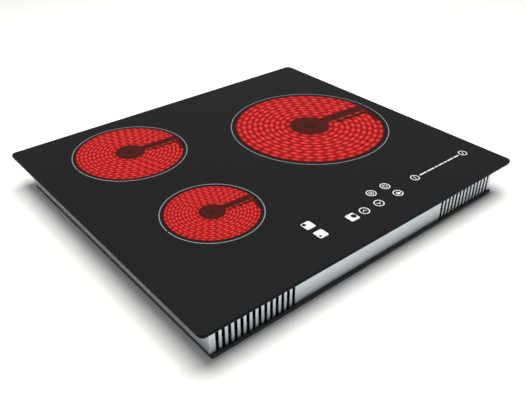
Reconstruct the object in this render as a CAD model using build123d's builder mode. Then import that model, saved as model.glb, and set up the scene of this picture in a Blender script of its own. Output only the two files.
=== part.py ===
from build123d import *
import os
from math import asin, cos, degrees, radians, sin, sqrt

# Three-zone radiant glass-ceramic hob, in millimetres.
# Z is up and the front faces -Y.  The origin is the middle of the footprint of the glass,
# on the surface that the base plate stands on.

# ---- glass plate ------------------------------------------------------------------------
glass_width = 590.0
glass_depth = 520.0
glass_thickness = 4.0
glass_corner_radius = 9.0
glass_edge_bevel = 0.8
print_thickness = 0.1

# ---- casing, base plate, bond and seal --------------------------------------------------
left_overhang = 22.5
right_overhang = 18.0
end_overhang = 18.0
casing_height = 50.0
casing_sheet = 1.0
casing_corner_radius = 2.0
top_flange = 8.0
foot_flange = 12.0
base_height = 5.0
base_sheet = 1.2
base_back_inset = 1.5
base_front_lip = 3.0
base_corner_radius = 2.0
bond_thickness = 1.0
bond_width = 5.0
seal_thickness = 3.0
seal_width = 7.0
seal_margin = 2.0

# ---- vents in the front wall ------------------------------------------------------------
slot_count = 14
slot_width = 4.7
slot_pitch = 8.94
slot_left_margin = 8.0
slot_right_margin = 9.4
slot_top_land = 8.0
slot_foot_bite = 4.0

# ---- screws and the bosses in the base that they pass -----------------------------------
screw_radius = 1.5
screw_head_radius = 3.2
screw_head_height = 2.0
screw_length = 7.0
screw_drive = 1.1
thread_clearance = 0.05
hole_clearance = 0.15
boss_radius = 5.5
counterbore_radius = 3.9
counterbore_depth = 3.0

# ---- cooking zones ----------------------------------------------------------------------
# Each zone has the diameter of its printed ring, the diameter of its glowing field, the
# wall of insulation round that field, and the margins that its pan keeps to the casing.
print_line = 1.3
print_gap = 2.6
right_ring_diameter = 267.6
right_glow_diameter = 252.6
right_rim_wall = 6.65
right_wall_margin = 5.95
right_set_back = 29.1
rear_ring_diameter = 179.0
rear_glow_diameter = 169.0
rear_rim_wall = 4.15
rear_wall_margin = 35.25
rear_back_margin = 7.95
front_ring_diameter = 143.6
front_glow_diameter = 132.8
front_rim_wall = 4.55
front_wall_margin = 52.85
front_front_margin = 91.75

# ---- one radiant heater -----------------------------------------------------------------
glass_gap = 0.3
heater_height = 28.0
pan_sheet = 0.8
pan_wall = 19.0
pan_foot_radius = 2.0
bed_clearance = 0.2
bed_thickness = 13.0
bridge_height = 6.0
ribbon_height = 5.0
ribbon_rings = 10
ribbon_share = 0.5
hub_share = 0.247
hub_clearance = 0.6
hub_dimple_radius = 6.0
hub_dimple_depth = 1.5
bridge_angle = -3.0
bridge_upper_share = 0.050
bridge_lower_share = 0.070
lead_share = 0.106
upper_tip_share = 0.070
lower_tip_share = 0.172
outer_end_angle = -25.0
lead_bend_share = 0.05
sensor_radius = 2.5
sensor_seat = 0.05
sensor_end_land = 1.0
sensor_notch_clearance = 0.3
connector_width = 22.0
connector_depth = 12.0
connector_height = 12.0
connector_lift = 3.0
connector_seat = 0.05
tab_width = 6.3
tab_thickness = 0.8
connector_corner = 1.5
tab_length = 8.0
tab_spacing = 8.0
right_connector_side = 180
rear_connector_side = -45
front_connector_side = 45

# ---- rails and springs under the heaters ------------------------------------------------
rail_height = 12.8
rail_sheet = 1.0
rail_top = 16.0
rail_foot = 8.0
rail_end_land = 3.0
left_rail_spacing = 76.0
right_rail_spacing = 124.0
stud_radius = 2.0
stud_length = 18.0
stud_clearance = 0.5
spring_width = 12.0
spring_sheet = 0.5
spring_span = 52.0
spring_foot = 8.0
spring_seat = 0.1
right_spring_reach = 60.0
rear_spring_reach = 45.0
front_spring_reach = 32.0

# ---- touch control ----------------------------------------------------------------------
# Rows are measured from the front edge of the glass, columns leftwards from its right edge.
key_row_front = 51.6
key_row_spacing = 24.1
slider_row = 63.0
slider_edge_margin = 40.6
slider_reach = 118.3
slider_to_timer = 52.3
timer_to_level = 40.5
key_column_spacing = 29.7
level_to_lamp = 23.9
lamp_spacing = 58.9
lamp_side = 15.6
lamp_corner = 2.5
key_ring_diameter = 15.6
slider_ring_diameter = 14.4
key_ring_line = 1.5
sign_line = 1.3
slider_line = 2.4
slider_gap = 2.1
slider_ends = 10.2
slider_breaks = [0.0, 18.0, 37.0, 45.5, 59.0, 67.5, 84.2, 98.0]
carrier_margin = 8.5
carrier_front_margin = 7.0
carrier_casing_gap = 9.5
carrier_wall = 2.0
carrier_height = 14.0
carrier_corner = 4.0
carrier_leg_radius = 4.5
carrier_leg_inset = 9.0
carrier_leg_gap = 5.1
board_thickness = 1.6
board_play = 0.4
board_corner = 1.5
touch_board_drop = 8.1
pad_radius = 5.0
pad_clearance = 0.1
led_side = 3.0
led_height = 3.0
controller_side = 12.0
chip_height = 2.0
sounder_radius = 4.5
sounder_height = 5.0

# ---- power board, mains terminals and cable gland ---------------------------------------
power_board_width = 193.0
power_board_depth = 48.0
power_board_back_margin = 3.0
standoff_height = 10.8
standoff_radius = 3.2
standoff_inset = 5.0
standoff_shift = 5.0
pole_pitch = 9.0
pole_depth = 12.0
pole_height = 11.0
pole_wire_height = 5.4
pole_gap = 0.6
pole_screw_radius = 2.2
pole_screw_depth = 2.0
socket_width = 7.4
socket_height = 8.0
relay_width = 12.5
relay_depth = 28.0
relay_height = 15.5
relay_pitch = 18.0
relay_from_left = 30.0
relay_from_back = 2.0
transformer_width = 26.0
transformer_depth = 24.0
transformer_height = 20.0
transformer_gap = 20.0
transformer_flange = 4.0
transformer_waist = 3.0
capacitor_radius = 6.25
capacitor_height = 20.0
capacitor_edge = 1.0
capacitor_gap = 5.0
capacitor_spacing = 16.0
mains_block_width = 60.0
mains_block_depth = 28.0
mains_block_height = 22.8
mains_block_corner = 1.5
mains_screw_depth = 8.0
mains_screw_length = 6.5
mains_mouth_radius = 2.6
mains_mouth_height = 6.0
mains_pole_pitch = 11.0
mains_screw_radius = 2.6
mains_screw_play = 0.4
gland_from_corner = 52.0
gland_height = 24.0
gland_thread_radius = 8.0
gland_bore_radius = 5.5
gland_collar_radius = 11.0
gland_collar_thickness = 2.5
gland_collar_round = 1.2
gland_inner_length = 14.0
gland_nut_radius = 11.5
gland_nut_thickness = 5.0

# ---- cooling blower ---------------------------------------------------------------------
fan_from_left = 66.5
fan_from_front = 53.0
fan_height = 20.0
fan_wall = 1.5
scroll_radius = 34.0
outlet_width = 56.0
outlet_reach = 38.5
inlet_radius = 22.0
impeller_radius = 30.0
impeller_eye = 22.0
impeller_hub = 13.0
impeller_hub_wall = 1.5
impeller_rise = 1.5
impeller_plate = 1.2
impeller_rim = 3.0
blade_count = 24
blade_thickness = 0.9
blade_lean = 35.0
spindle_radius = 1.5
spindle_clearance = 0.05
motor_radius = 10.5
rotor_gap = 0.4
ear_radius = 5.0
ear_bite = 1.2
ear_from_spindle = 24.0
intake_slots = 5
intake_slot_width = 3.5
intake_slot_length = 30.0
intake_slot_pitch = 7.0

# ---- wiring -----------------------------------------------------------------------------
wire_radius = 1.3
wire_bend = 4.0
bend_share = 0.95
wire_end_gap = 0.3
lane_margin = 5.5
turn_margin = 8.0
tab_run = 6.0
cable_radius = 2.0
cable_bend = 6.0
saddle_width = 8.0
saddle_sheet = 1.5
saddle_foot = 6.0
saddle_places = (30.0, 48.0)

# ---- heights that follow from the sizes above -------------------------------------------
casing_bottom = base_height
casing_top = casing_bottom + casing_height
glass_bottom = casing_top + bond_thickness
glass_top = glass_bottom + glass_thickness
print_bottom = glass_top - print_thickness
pan_floor = glass_bottom - glass_gap - heater_height
bed_floor = pan_floor + pan_sheet
bed_top = bed_floor + bed_thickness
rim_top = glass_bottom - glass_gap
bridge_top = bed_top + bridge_height
sensor_height = bridge_top + sensor_seat + sensor_radius
rail_floor = base_sheet
rail_head = rail_floor + rail_height
touch_board_top = glass_bottom - touch_board_drop
carrier_floor = glass_bottom - glass_gap - carrier_height
power_board_bottom = base_sheet + standoff_height
power_board_top = power_board_bottom + board_thickness
wire_entry = power_board_top + pole_wire_height
trunk_height = base_sheet + wire_radius + wire_end_gap
cable_height = base_sheet + cable_radius + wire_end_gap
tab_height = pan_floor + connector_lift + connector_height / 2

# ---- plan positions that follow ---------------------------------------------------------
casing_x = (glass_width - left_overhang - right_overhang) / 2
casing_middle = (left_overhang - right_overhang) / 2
casing_y = glass_depth / 2 - end_overhang
inner_x = casing_x - casing_sheet
inner_y = casing_y - casing_sheet
flange_inner_x = inner_x - foot_flange
flange_inner_y = inner_y - foot_flange
screw_row_x = inner_x - foot_flange / 2
screw_row_y = inner_y - foot_flange / 2
casing_left = casing_middle - casing_x
casing_right = casing_middle + casing_x
inner_left = casing_middle - inner_x
inner_right = casing_middle + inner_x
slot_group = (slot_count - 1) * slot_pitch + slot_width
slot_group_places = [casing_left + slot_left_margin + slot_group / 2,
                     casing_right - slot_right_margin - slot_group / 2]

pan_skin = pan_sheet + bed_clearance
right_pan_radius = right_glow_diameter / 2 + right_rim_wall + pan_skin
rear_pan_radius = rear_glow_diameter / 2 + rear_rim_wall + pan_skin
front_pan_radius = front_glow_diameter / 2 + front_rim_wall + pan_skin
right_x = inner_right - right_wall_margin - right_pan_radius
right_y = right_set_back
rear_x = inner_left + rear_wall_margin + rear_pan_radius
rear_y = inner_y - rear_back_margin - rear_pan_radius
front_x = inner_left + front_wall_margin + front_pan_radius
front_y = -inner_y + front_front_margin + front_pan_radius

# centre and diameter of each printed ring, side of its break
ring_prints = [
    (right_x, right_y, right_ring_diameter, 0),
    (rear_x, rear_y, rear_ring_diameter, 180),
    (front_x, front_y, front_ring_diameter, 180),
]
# name, centre, radius of the pan and of the glow, side of the connector, spacing of the
# rails, reach of the springs along a rail
heaters = [
    ("right", right_x, right_y, right_pan_radius, right_glow_diameter / 2,
     right_connector_side, right_rail_spacing, right_spring_reach),
    ("rear_left", rear_x, rear_y, rear_pan_radius, rear_glow_diameter / 2,
     rear_connector_side, left_rail_spacing, rear_spring_reach),
    ("front_left", front_x, front_y, front_pan_radius, front_glow_diameter / 2,
     front_connector_side, left_rail_spacing, front_spring_reach),
]

key_front_y = -glass_depth / 2 + key_row_front
key_back_y = key_front_y + key_row_spacing
slider_y = -glass_depth / 2 + slider_row
slider_right_x = glass_width / 2 - slider_edge_margin
slider_left_x = slider_right_x - slider_reach
slider_line_x = slider_left_x + slider_ends
slider_length = slider_breaks[-1]
timer_right_x = slider_left_x - slider_to_timer
timer_left_x = timer_right_x - key_column_spacing
level_left_x = timer_left_x - timer_to_level
lamp_right_x = level_left_x - level_to_lamp
lamp_left_x = lamp_right_x - lamp_spacing
lamp_places = [
    (lamp_left_x, key_back_y),
    (lamp_left_x, key_front_y),
    (lamp_right_x, key_front_y),
]
lamp_spots = [(-3.9, 4.0, 3.0), (-4.0, -3.4, 2.0), (3.2, 0.7, 4.1)]
ring_keys = [
    (level_left_x, key_front_y),
    (level_left_x + key_column_spacing, key_front_y),
    (timer_left_x, key_back_y),
    (timer_right_x, key_back_y),
    (timer_right_x, key_front_y),
    (slider_left_x, slider_y),
    (slider_right_x, slider_y),
]

carrier_left = lamp_left_x - lamp_side / 2 - carrier_margin
carrier_right = inner_right - carrier_casing_gap
carrier_front = key_front_y - key_ring_diameter / 2 - carrier_front_margin
carrier_back = key_back_y + key_ring_diameter / 2 + carrier_margin
carrier_x = (carrier_left + carrier_right) / 2
carrier_y = (carrier_front + carrier_back) / 2
carrier_width = carrier_right - carrier_left
carrier_depth = carrier_back - carrier_front
leg_left = carrier_left + carrier_leg_inset
leg_right = casing_middle + flange_inner_x - carrier_leg_radius - carrier_leg_gap
carrier_legs = [
    (x, y)
    for x in (leg_left, (leg_left + leg_right) / 2, leg_right)
    for y in (carrier_front + carrier_leg_inset, carrier_back - carrier_leg_inset)
]

casing_screw_points = [
    (casing_middle + share * screw_row_x, y)
    for y in (-screw_row_y, screw_row_y)
    for share in (-1, -1 / 3, 1 / 3, 1)
] + [
    (casing_middle + share * screw_row_x, y)
    for share in (-1, 1)
    for y in (-screw_row_y / 3, screw_row_y / 3)
]

fan_x = casing_left + fan_from_left
fan_y = -inner_y + fan_from_front
fan_floor = base_height
fan_lid = fan_floor + fan_height - fan_wall
ear_reach = (scroll_radius + fan_wall + ear_radius - ear_bite) / sqrt(2)
ear_points = [
    (fan_x + outlet_width / 2 + fan_wall + ear_radius - ear_bite, fan_y - ear_from_spindle),
    (fan_x + ear_reach, fan_y + ear_reach),
    (fan_x - ear_reach, fan_y + ear_reach),
]

# The wires run straight back on the base beside the foot of the right heater's inner rail
# and into the poles, so the rail sets the poles, and the poles set the board.
rail_foot_edge = rail_top / 2 - rail_sheet + rail_foot
cable_lane = right_x - right_rail_spacing / 2 - rail_foot_edge - lane_margin
heater_poles = [cable_lane - (6 - pole) * pole_pitch for pole in range(6)]
board_left = heater_poles[0] - pole_pitch / 2 - 2 * standoff_inset
board_right = board_left + power_board_width
board_back = flange_inner_y - power_board_back_margin
board_front = board_back - power_board_depth
board_x = (board_left + board_right) / 2
board_y = (board_back + board_front) / 2
standoff_points = [
    (x, y)
    for x in (board_left + standoff_inset, board_x + standoff_shift,
              board_right - standoff_inset)
    for y in (board_front + standoff_inset, board_back - standoff_inset)
]
mains_poles = [board_y + (pole - 1) * mains_pole_pitch for pole in range(3)]
gland_x = casing_right - gland_from_corner
mains_block_x = gland_x
carrier_exit = (touch_board_top + rim_top) / 2


def finish(piece, name):
    """Name a finished piece and write it out."""
    piece.part.label = name
    export_step(piece.part, f"parts/{name}.step")


def screws(points, seat, length, up):
    """Pan-head screws added to the part being built: heads on z = seat, shanks going up or down."""
    with BuildSketch(Plane.XY.offset(seat)) as heads:
        with Locations(*points):
            Circle(screw_head_radius)
    extrude(heads.sketch, amount=-up * screw_head_height)
    with BuildSketch(Plane.XY.offset(seat)) as shanks:
        with Locations(*points):
            Circle(screw_radius)
    extrude(shanks.sketch, amount=up * length)
    with BuildSketch(Plane.XY.offset(seat - up * screw_head_height)) as sockets:
        with Locations(*points):
            RegularPolygon(screw_drive, 6)
    extrude(sockets.sketch, amount=up * screw_head_height / 2, mode=Mode.SUBTRACT)


def round_holes(points, floor, depth, radius):
    """Cut round holes upwards from z = floor in the part being built."""
    with BuildSketch(Plane.XY.offset(floor)) as holes:
        with Locations(*points):
            Circle(radius)
    extrude(holes.sketch, amount=depth, mode=Mode.SUBTRACT)


def tube(points, bend, radius):
    """A wire of straight runs joined by arcs, added to the part being built.

    Two bends share each inner run, so they grow tighter where a run is short.
    """
    corners = [Vector(*point) for point in points]
    runs = [(end - start).length for start, end in zip(corners, corners[1:])]
    room = min(runs[0], runs[-1], *[run / 2 for run in runs[1:-1]])
    with BuildLine() as route:
        FilletPolyline(*points, radius=min(bend, bend_share * room))
    with BuildSketch(Plane(origin=route.line @ 0, z_dir=route.line % 0)) as section:
        Circle(radius)
    sweep(section.sketch, path=route.line)


# =========================================================================================
# Glass plate with its printed enamel
# =========================================================================================
with BuildPart() as zone_ring_print:
    for x, y, ring_diameter, break_side in ring_prints:
        with BuildSketch(Plane.XY.offset(print_bottom)):
            with Locations((x, y)):
                Circle((ring_diameter + print_line) / 2)
                Circle((ring_diameter - print_line) / 2, mode=Mode.SUBTRACT)
            with Locations((x + ring_diameter / 2 * cos(radians(break_side)), y)):
                Rectangle(2 * print_line, print_gap, mode=Mode.SUBTRACT)
        extrude(amount=print_thickness)
finish(zone_ring_print, "zone_ring_print")

with BuildPart() as control_print:
    with BuildSketch(Plane.XY.offset(print_bottom)):
        with Locations(*lamp_places):
            RectangleRounded(lamp_side, lamp_side, lamp_corner)
        for (x, y), (spot_x, spot_y, spot_radius) in zip(lamp_places, lamp_spots):
            with Locations((x + spot_x, y + spot_y)):
                Circle(spot_radius, mode=Mode.SUBTRACT)
        for keys, ring_diameter in ((ring_keys[:5], key_ring_diameter),
                                    (ring_keys[5:], slider_ring_diameter)):
            with Locations(*keys):
                Circle(ring_diameter / 2)
                Circle(ring_diameter / 2 - key_ring_line, mode=Mode.SUBTRACT)
        for start, end in zip(slider_breaks[:-1], slider_breaks[1:]):
            with Locations((slider_line_x + (start + end) / 2, slider_y)):
                Rectangle(end - start - slider_gap, slider_line)
    extrude(amount=print_thickness)
    # signs inside the ring keys: up, down, second circuit, timer, lock, off and full power
    sign = key_ring_diameter / 2 - key_ring_line
    with BuildSketch(Plane.XY.offset(print_bottom)):
        for (x, y), rise in ((ring_keys[0], 1), (ring_keys[1], -1)):
            with BuildLine():
                Polyline((x - 0.5 * sign, y - rise * 0.25 * sign), (x, y + rise * 0.3 * sign),
                         (x + 0.5 * sign, y - rise * 0.25 * sign))
            trace(line_width=sign_line)
        with Locations(ring_keys[2]):
            Circle(0.62 * sign)
            Circle(0.62 * sign - sign_line * 0.7, mode=Mode.SUBTRACT)
            Circle(0.22 * sign)
        with Locations(ring_keys[3]):
            Circle(0.62 * sign)
            Circle(0.62 * sign - sign_line * 0.7, mode=Mode.SUBTRACT)
            Rectangle(sign_line * 0.7, 0.5 * sign, align=(Align.CENTER, Align.MIN))
        with Locations(ring_keys[4]):
            with Locations((0, 0.18 * sign)):
                Circle(0.36 * sign)
                Circle(0.36 * sign - sign_line * 0.6, mode=Mode.SUBTRACT)
            with Locations((0, -0.2 * sign)):
                Rectangle(1.0 * sign, 0.66 * sign)
        for place, turn in ((ring_keys[5], 75), (ring_keys[6], 50)):
            with Locations(Location((*place, 0), (0, 0, turn))):
                Rectangle(1.35 * sign, sign_line)
    extrude(amount=print_thickness)
finish(control_print, "control_print")

with BuildPart() as glass_ceramic_plate:
    with BuildSketch(Plane.XY.offset(glass_bottom)):
        RectangleRounded(glass_width, glass_depth, glass_corner_radius)
    extrude(amount=glass_thickness)
    top_edges = glass_ceramic_plate.edges().group_by(Axis.Z)[-1]
    chamfer(top_edges, length=glass_edge_bevel)
    # the enamel lies flush in the glass, so a pot stands on the glass itself
    add(zone_ring_print.part, mode=Mode.SUBTRACT)
    add(control_print.part, mode=Mode.SUBTRACT)
finish(glass_ceramic_plate, "glass_ceramic_plate")

# =========================================================================================
# Casing, base plate, bond bead and seal
# =========================================================================================
with BuildPart() as side_casing:
    with BuildSketch(Plane.XY.offset(casing_bottom)):
        with Locations((casing_middle, 0)):
            RectangleRounded(2 * casing_x, 2 * casing_y, casing_corner_radius)
            RectangleRounded(2 * inner_x, 2 * inner_y, casing_corner_radius - casing_sheet,
                             mode=Mode.SUBTRACT)
    extrude(amount=casing_height)
    with BuildSketch(Plane.XY.offset(casing_bottom)):
        with Locations((casing_middle, 0)):
            RectangleRounded(2 * casing_x, 2 * casing_y, casing_corner_radius)
            RectangleRounded(2 * flange_inner_x, 2 * flange_inner_y, casing_corner_radius,
                             mode=Mode.SUBTRACT)
    extrude(amount=casing_sheet)
    with BuildSketch(Plane.XY.offset(casing_top)):
        with Locations((casing_middle, 0)):
            RectangleRounded(2 * (casing_x + top_flange), 2 * (casing_y + top_flange),
                             casing_corner_radius + top_flange)
            RectangleRounded(2 * inner_x, 2 * inner_y, casing_corner_radius - casing_sheet,
                             mode=Mode.SUBTRACT)
    extrude(amount=-casing_sheet)
    # upright slots that cut through the front wall and round its lower bend
    slot_height = casing_height - slot_top_land
    with BuildSketch(Plane.XZ.offset(casing_y)):
        for slot_group_x in slot_group_places:
            with Locations((slot_group_x, casing_bottom + slot_height / 2)):
                with GridLocations(slot_pitch, slot_height, slot_count, 1):
                    Rectangle(slot_width, slot_height)
    extrude(amount=-(casing_sheet + slot_foot_bite), mode=Mode.SUBTRACT)
    # hole for the cable gland in the rear wall
    with BuildSketch(Plane.XZ.offset(-casing_y)):
        with Locations((gland_x, gland_height)):
            Circle(gland_thread_radius + hole_clearance)
    extrude(amount=casing_sheet, mode=Mode.SUBTRACT)
    round_holes(casing_screw_points, casing_bottom, casing_sheet,
                screw_radius + thread_clearance)
finish(side_casing, "side_casing")

base_front = casing_y + base_front_lip
base_back = casing_y - base_back_inset
hollow_front = casing_y - base_sheet
hollow_back = base_back - base_sheet
with BuildPart() as base_plate:
    with BuildSketch():
        with Locations((casing_middle, (base_back - base_front) / 2)):
            RectangleRounded(2 * casing_x, base_front + base_back, base_corner_radius)
    extrude(amount=base_height)
    with BuildSketch(Plane.XY.offset(base_sheet)):
        with Locations((casing_middle, (hollow_back - hollow_front) / 2)):
            RectangleRounded(2 * (casing_x - base_sheet),
                             hollow_front + hollow_back, base_corner_radius - base_sheet)
    extrude(amount=base_height - base_sheet, mode=Mode.SUBTRACT)
    with BuildSketch(Plane.XY.offset(base_sheet)):
        with Locations(*casing_screw_points, *carrier_legs, *ear_points):
            Circle(boss_radius)
    extrude(amount=base_height - base_sheet)
    round_holes(casing_screw_points + carrier_legs, 0, base_height,
                screw_radius + hole_clearance)
    round_holes(casing_screw_points + carrier_legs, 0, counterbore_depth, counterbore_radius)
    round_holes(ear_points, 0, base_height, screw_radius + thread_clearance)
    # air intake under the blower
    with BuildSketch():
        with Locations((fan_x, fan_y)):
            with GridLocations(0, intake_slot_pitch, 1, intake_slots):
                SlotOverall(intake_slot_length, intake_slot_width)
    extrude(amount=base_sheet, mode=Mode.SUBTRACT)
finish(base_plate, "base_plate")

with BuildPart() as base_screws:
    screws(casing_screw_points + carrier_legs, counterbore_depth, screw_length, 1)
finish(base_screws, "base_screws")

with BuildPart() as glass_bond_bead:
    bead_inset = (top_flange - bond_width) / 2
    with BuildSketch(Plane.XY.offset(casing_top)):
        with Locations((casing_middle, 0)):
            RectangleRounded(2 * (casing_x + top_flange - bead_inset),
                             2 * (casing_y + top_flange - bead_inset),
                             casing_corner_radius + top_flange - bead_inset)
            RectangleRounded(2 * (casing_x + bead_inset), 2 * (casing_y + bead_inset),
                             casing_corner_radius + bead_inset, mode=Mode.SUBTRACT)
    extrude(amount=bond_thickness)
finish(glass_bond_bead, "glass_bond_bead")

with BuildPart() as worktop_seal:
    with BuildSketch(Plane.XY.offset(glass_bottom)):
        RectangleRounded(glass_width - 2 * seal_margin, glass_depth - 2 * seal_margin,
                         glass_corner_radius - seal_margin)
        RectangleRounded(glass_width - 2 * (seal_margin + seal_width),
                         glass_depth - 2 * (seal_margin + seal_width), seal_margin,
                         mode=Mode.SUBTRACT)
    extrude(amount=-seal_thickness)
finish(worktop_seal, "worktop_seal")


# =========================================================================================
# Heater rails: two under the left pair of heaters, two under the right one
# =========================================================================================
def make_rails(places, y_back, y_front, stud_places):
    """A pair of hat-section rails on the base, with holes over the heaters' locating studs."""
    web_x = rail_top / 2 - rail_sheet / 2
    foot_x = rail_top / 2 + rail_foot / 2 - rail_sheet
    with BuildPart() as rails:
        with BuildSketch(Plane.XZ.offset(-y_back)):
            for x in places:
                with Locations((x, rail_head - rail_sheet / 2)):
                    Rectangle(rail_top, rail_sheet)
                with Locations((x - web_x, rail_floor + rail_height / 2),
                               (x + web_x, rail_floor + rail_height / 2)):
                    Rectangle(rail_sheet, rail_height)
                with Locations((x - foot_x, rail_floor + rail_sheet / 2),
                               (x + foot_x, rail_floor + rail_sheet / 2)):
                    Rectangle(rail_foot, rail_sheet)
        extrude(amount=y_back - y_front)
        round_holes([(x, y) for x in places for y in stud_places], rail_head - rail_sheet,
                    rail_sheet, stud_radius + stud_clearance)
    return rails


spring_end = spring_span / 2 + rail_end_land
left_rail_x = (rear_x + front_x) / 2
left_rails = make_rails(
    (left_rail_x - left_rail_spacing / 2, left_rail_x + left_rail_spacing / 2),
    rear_y + rear_spring_reach + spring_end, front_y - front_spring_reach - spring_end,
    (rear_y, front_y))
finish(left_rails, "left_rails")
right_rails = make_rails(
    (right_x - right_rail_spacing / 2, right_x + right_rail_spacing / 2),
    right_y + right_spring_reach + spring_end, right_y - right_spring_reach - spring_end,
    (right_y,))
finish(right_rails, "right_rails")


# =========================================================================================
# Radiant heaters: pan, insulation, ribbon, sensor, connector and springs
# =========================================================================================
def ribbon_sketch(glow_radius):
    """Trace the meandering ribbon in the sketch being built, bridge along +X."""
    hub = hub_share * glow_radius
    pitch = (glow_radius - hub) / ribbon_rings
    width = ribbon_share * pitch
    radii = [glow_radius - (ring + 0.5) * pitch for ring in range(ribbon_rings)]
    tip_reach = (pitch + width) / 2
    upper = upper_tip_share * glow_radius + tip_reach
    lower = lower_tip_share * glow_radius + tip_reach
    lead_y = lead_share * glow_radius
    lead_bend = lead_bend_share * glow_radius
    inner = radii[-1]
    bend_y = lead_y + lead_bend
    bend_x = sqrt((inner + lead_bend) ** 2 - bend_y ** 2)
    bend_angle = degrees(asin(bend_y / (inner + lead_bend)))

    def tip_angle(ring, reach):
        """Angle at which the hairpin between this ring and the next one inwards turns."""
        return degrees(asin(reach / (radii[ring] - pitch / 2)))

    with BuildLine() as path:
        Line((bend_x, -lead_y), (sqrt(glow_radius ** 2 - lead_y ** 2) - width, -lead_y))
        CenterArc((bend_x, -bend_y), lead_bend, 90, 90 - bend_angle)
        for ring in range(ribbon_rings):
            # odd rings, counted from 0 outside, have their upper hairpin on the outer side
            if ring % 2:
                start = tip_angle(ring - 1, upper)
                end = 360 - (bend_angle if ring == ribbon_rings - 1 else tip_angle(ring, lower))
            else:
                start = tip_angle(ring, upper)
                end = 360 + outer_end_angle if ring == 0 else 360 - tip_angle(ring - 1, lower)
            CenterArc((0, 0), radii[ring], start, end - start)
        for ring in range(ribbon_rings - 1):
            middle = radii[ring] - pitch / 2
            if ring % 2:
                angle = -tip_angle(ring, lower)
                turn = 180
            else:
                angle = tip_angle(ring, upper)
                turn = -180
            place = (middle * cos(radians(angle)), middle * sin(radians(angle)))
            CenterArc(place, pitch / 2, angle, turn)
    trace(path.line, line_width=width)


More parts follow.
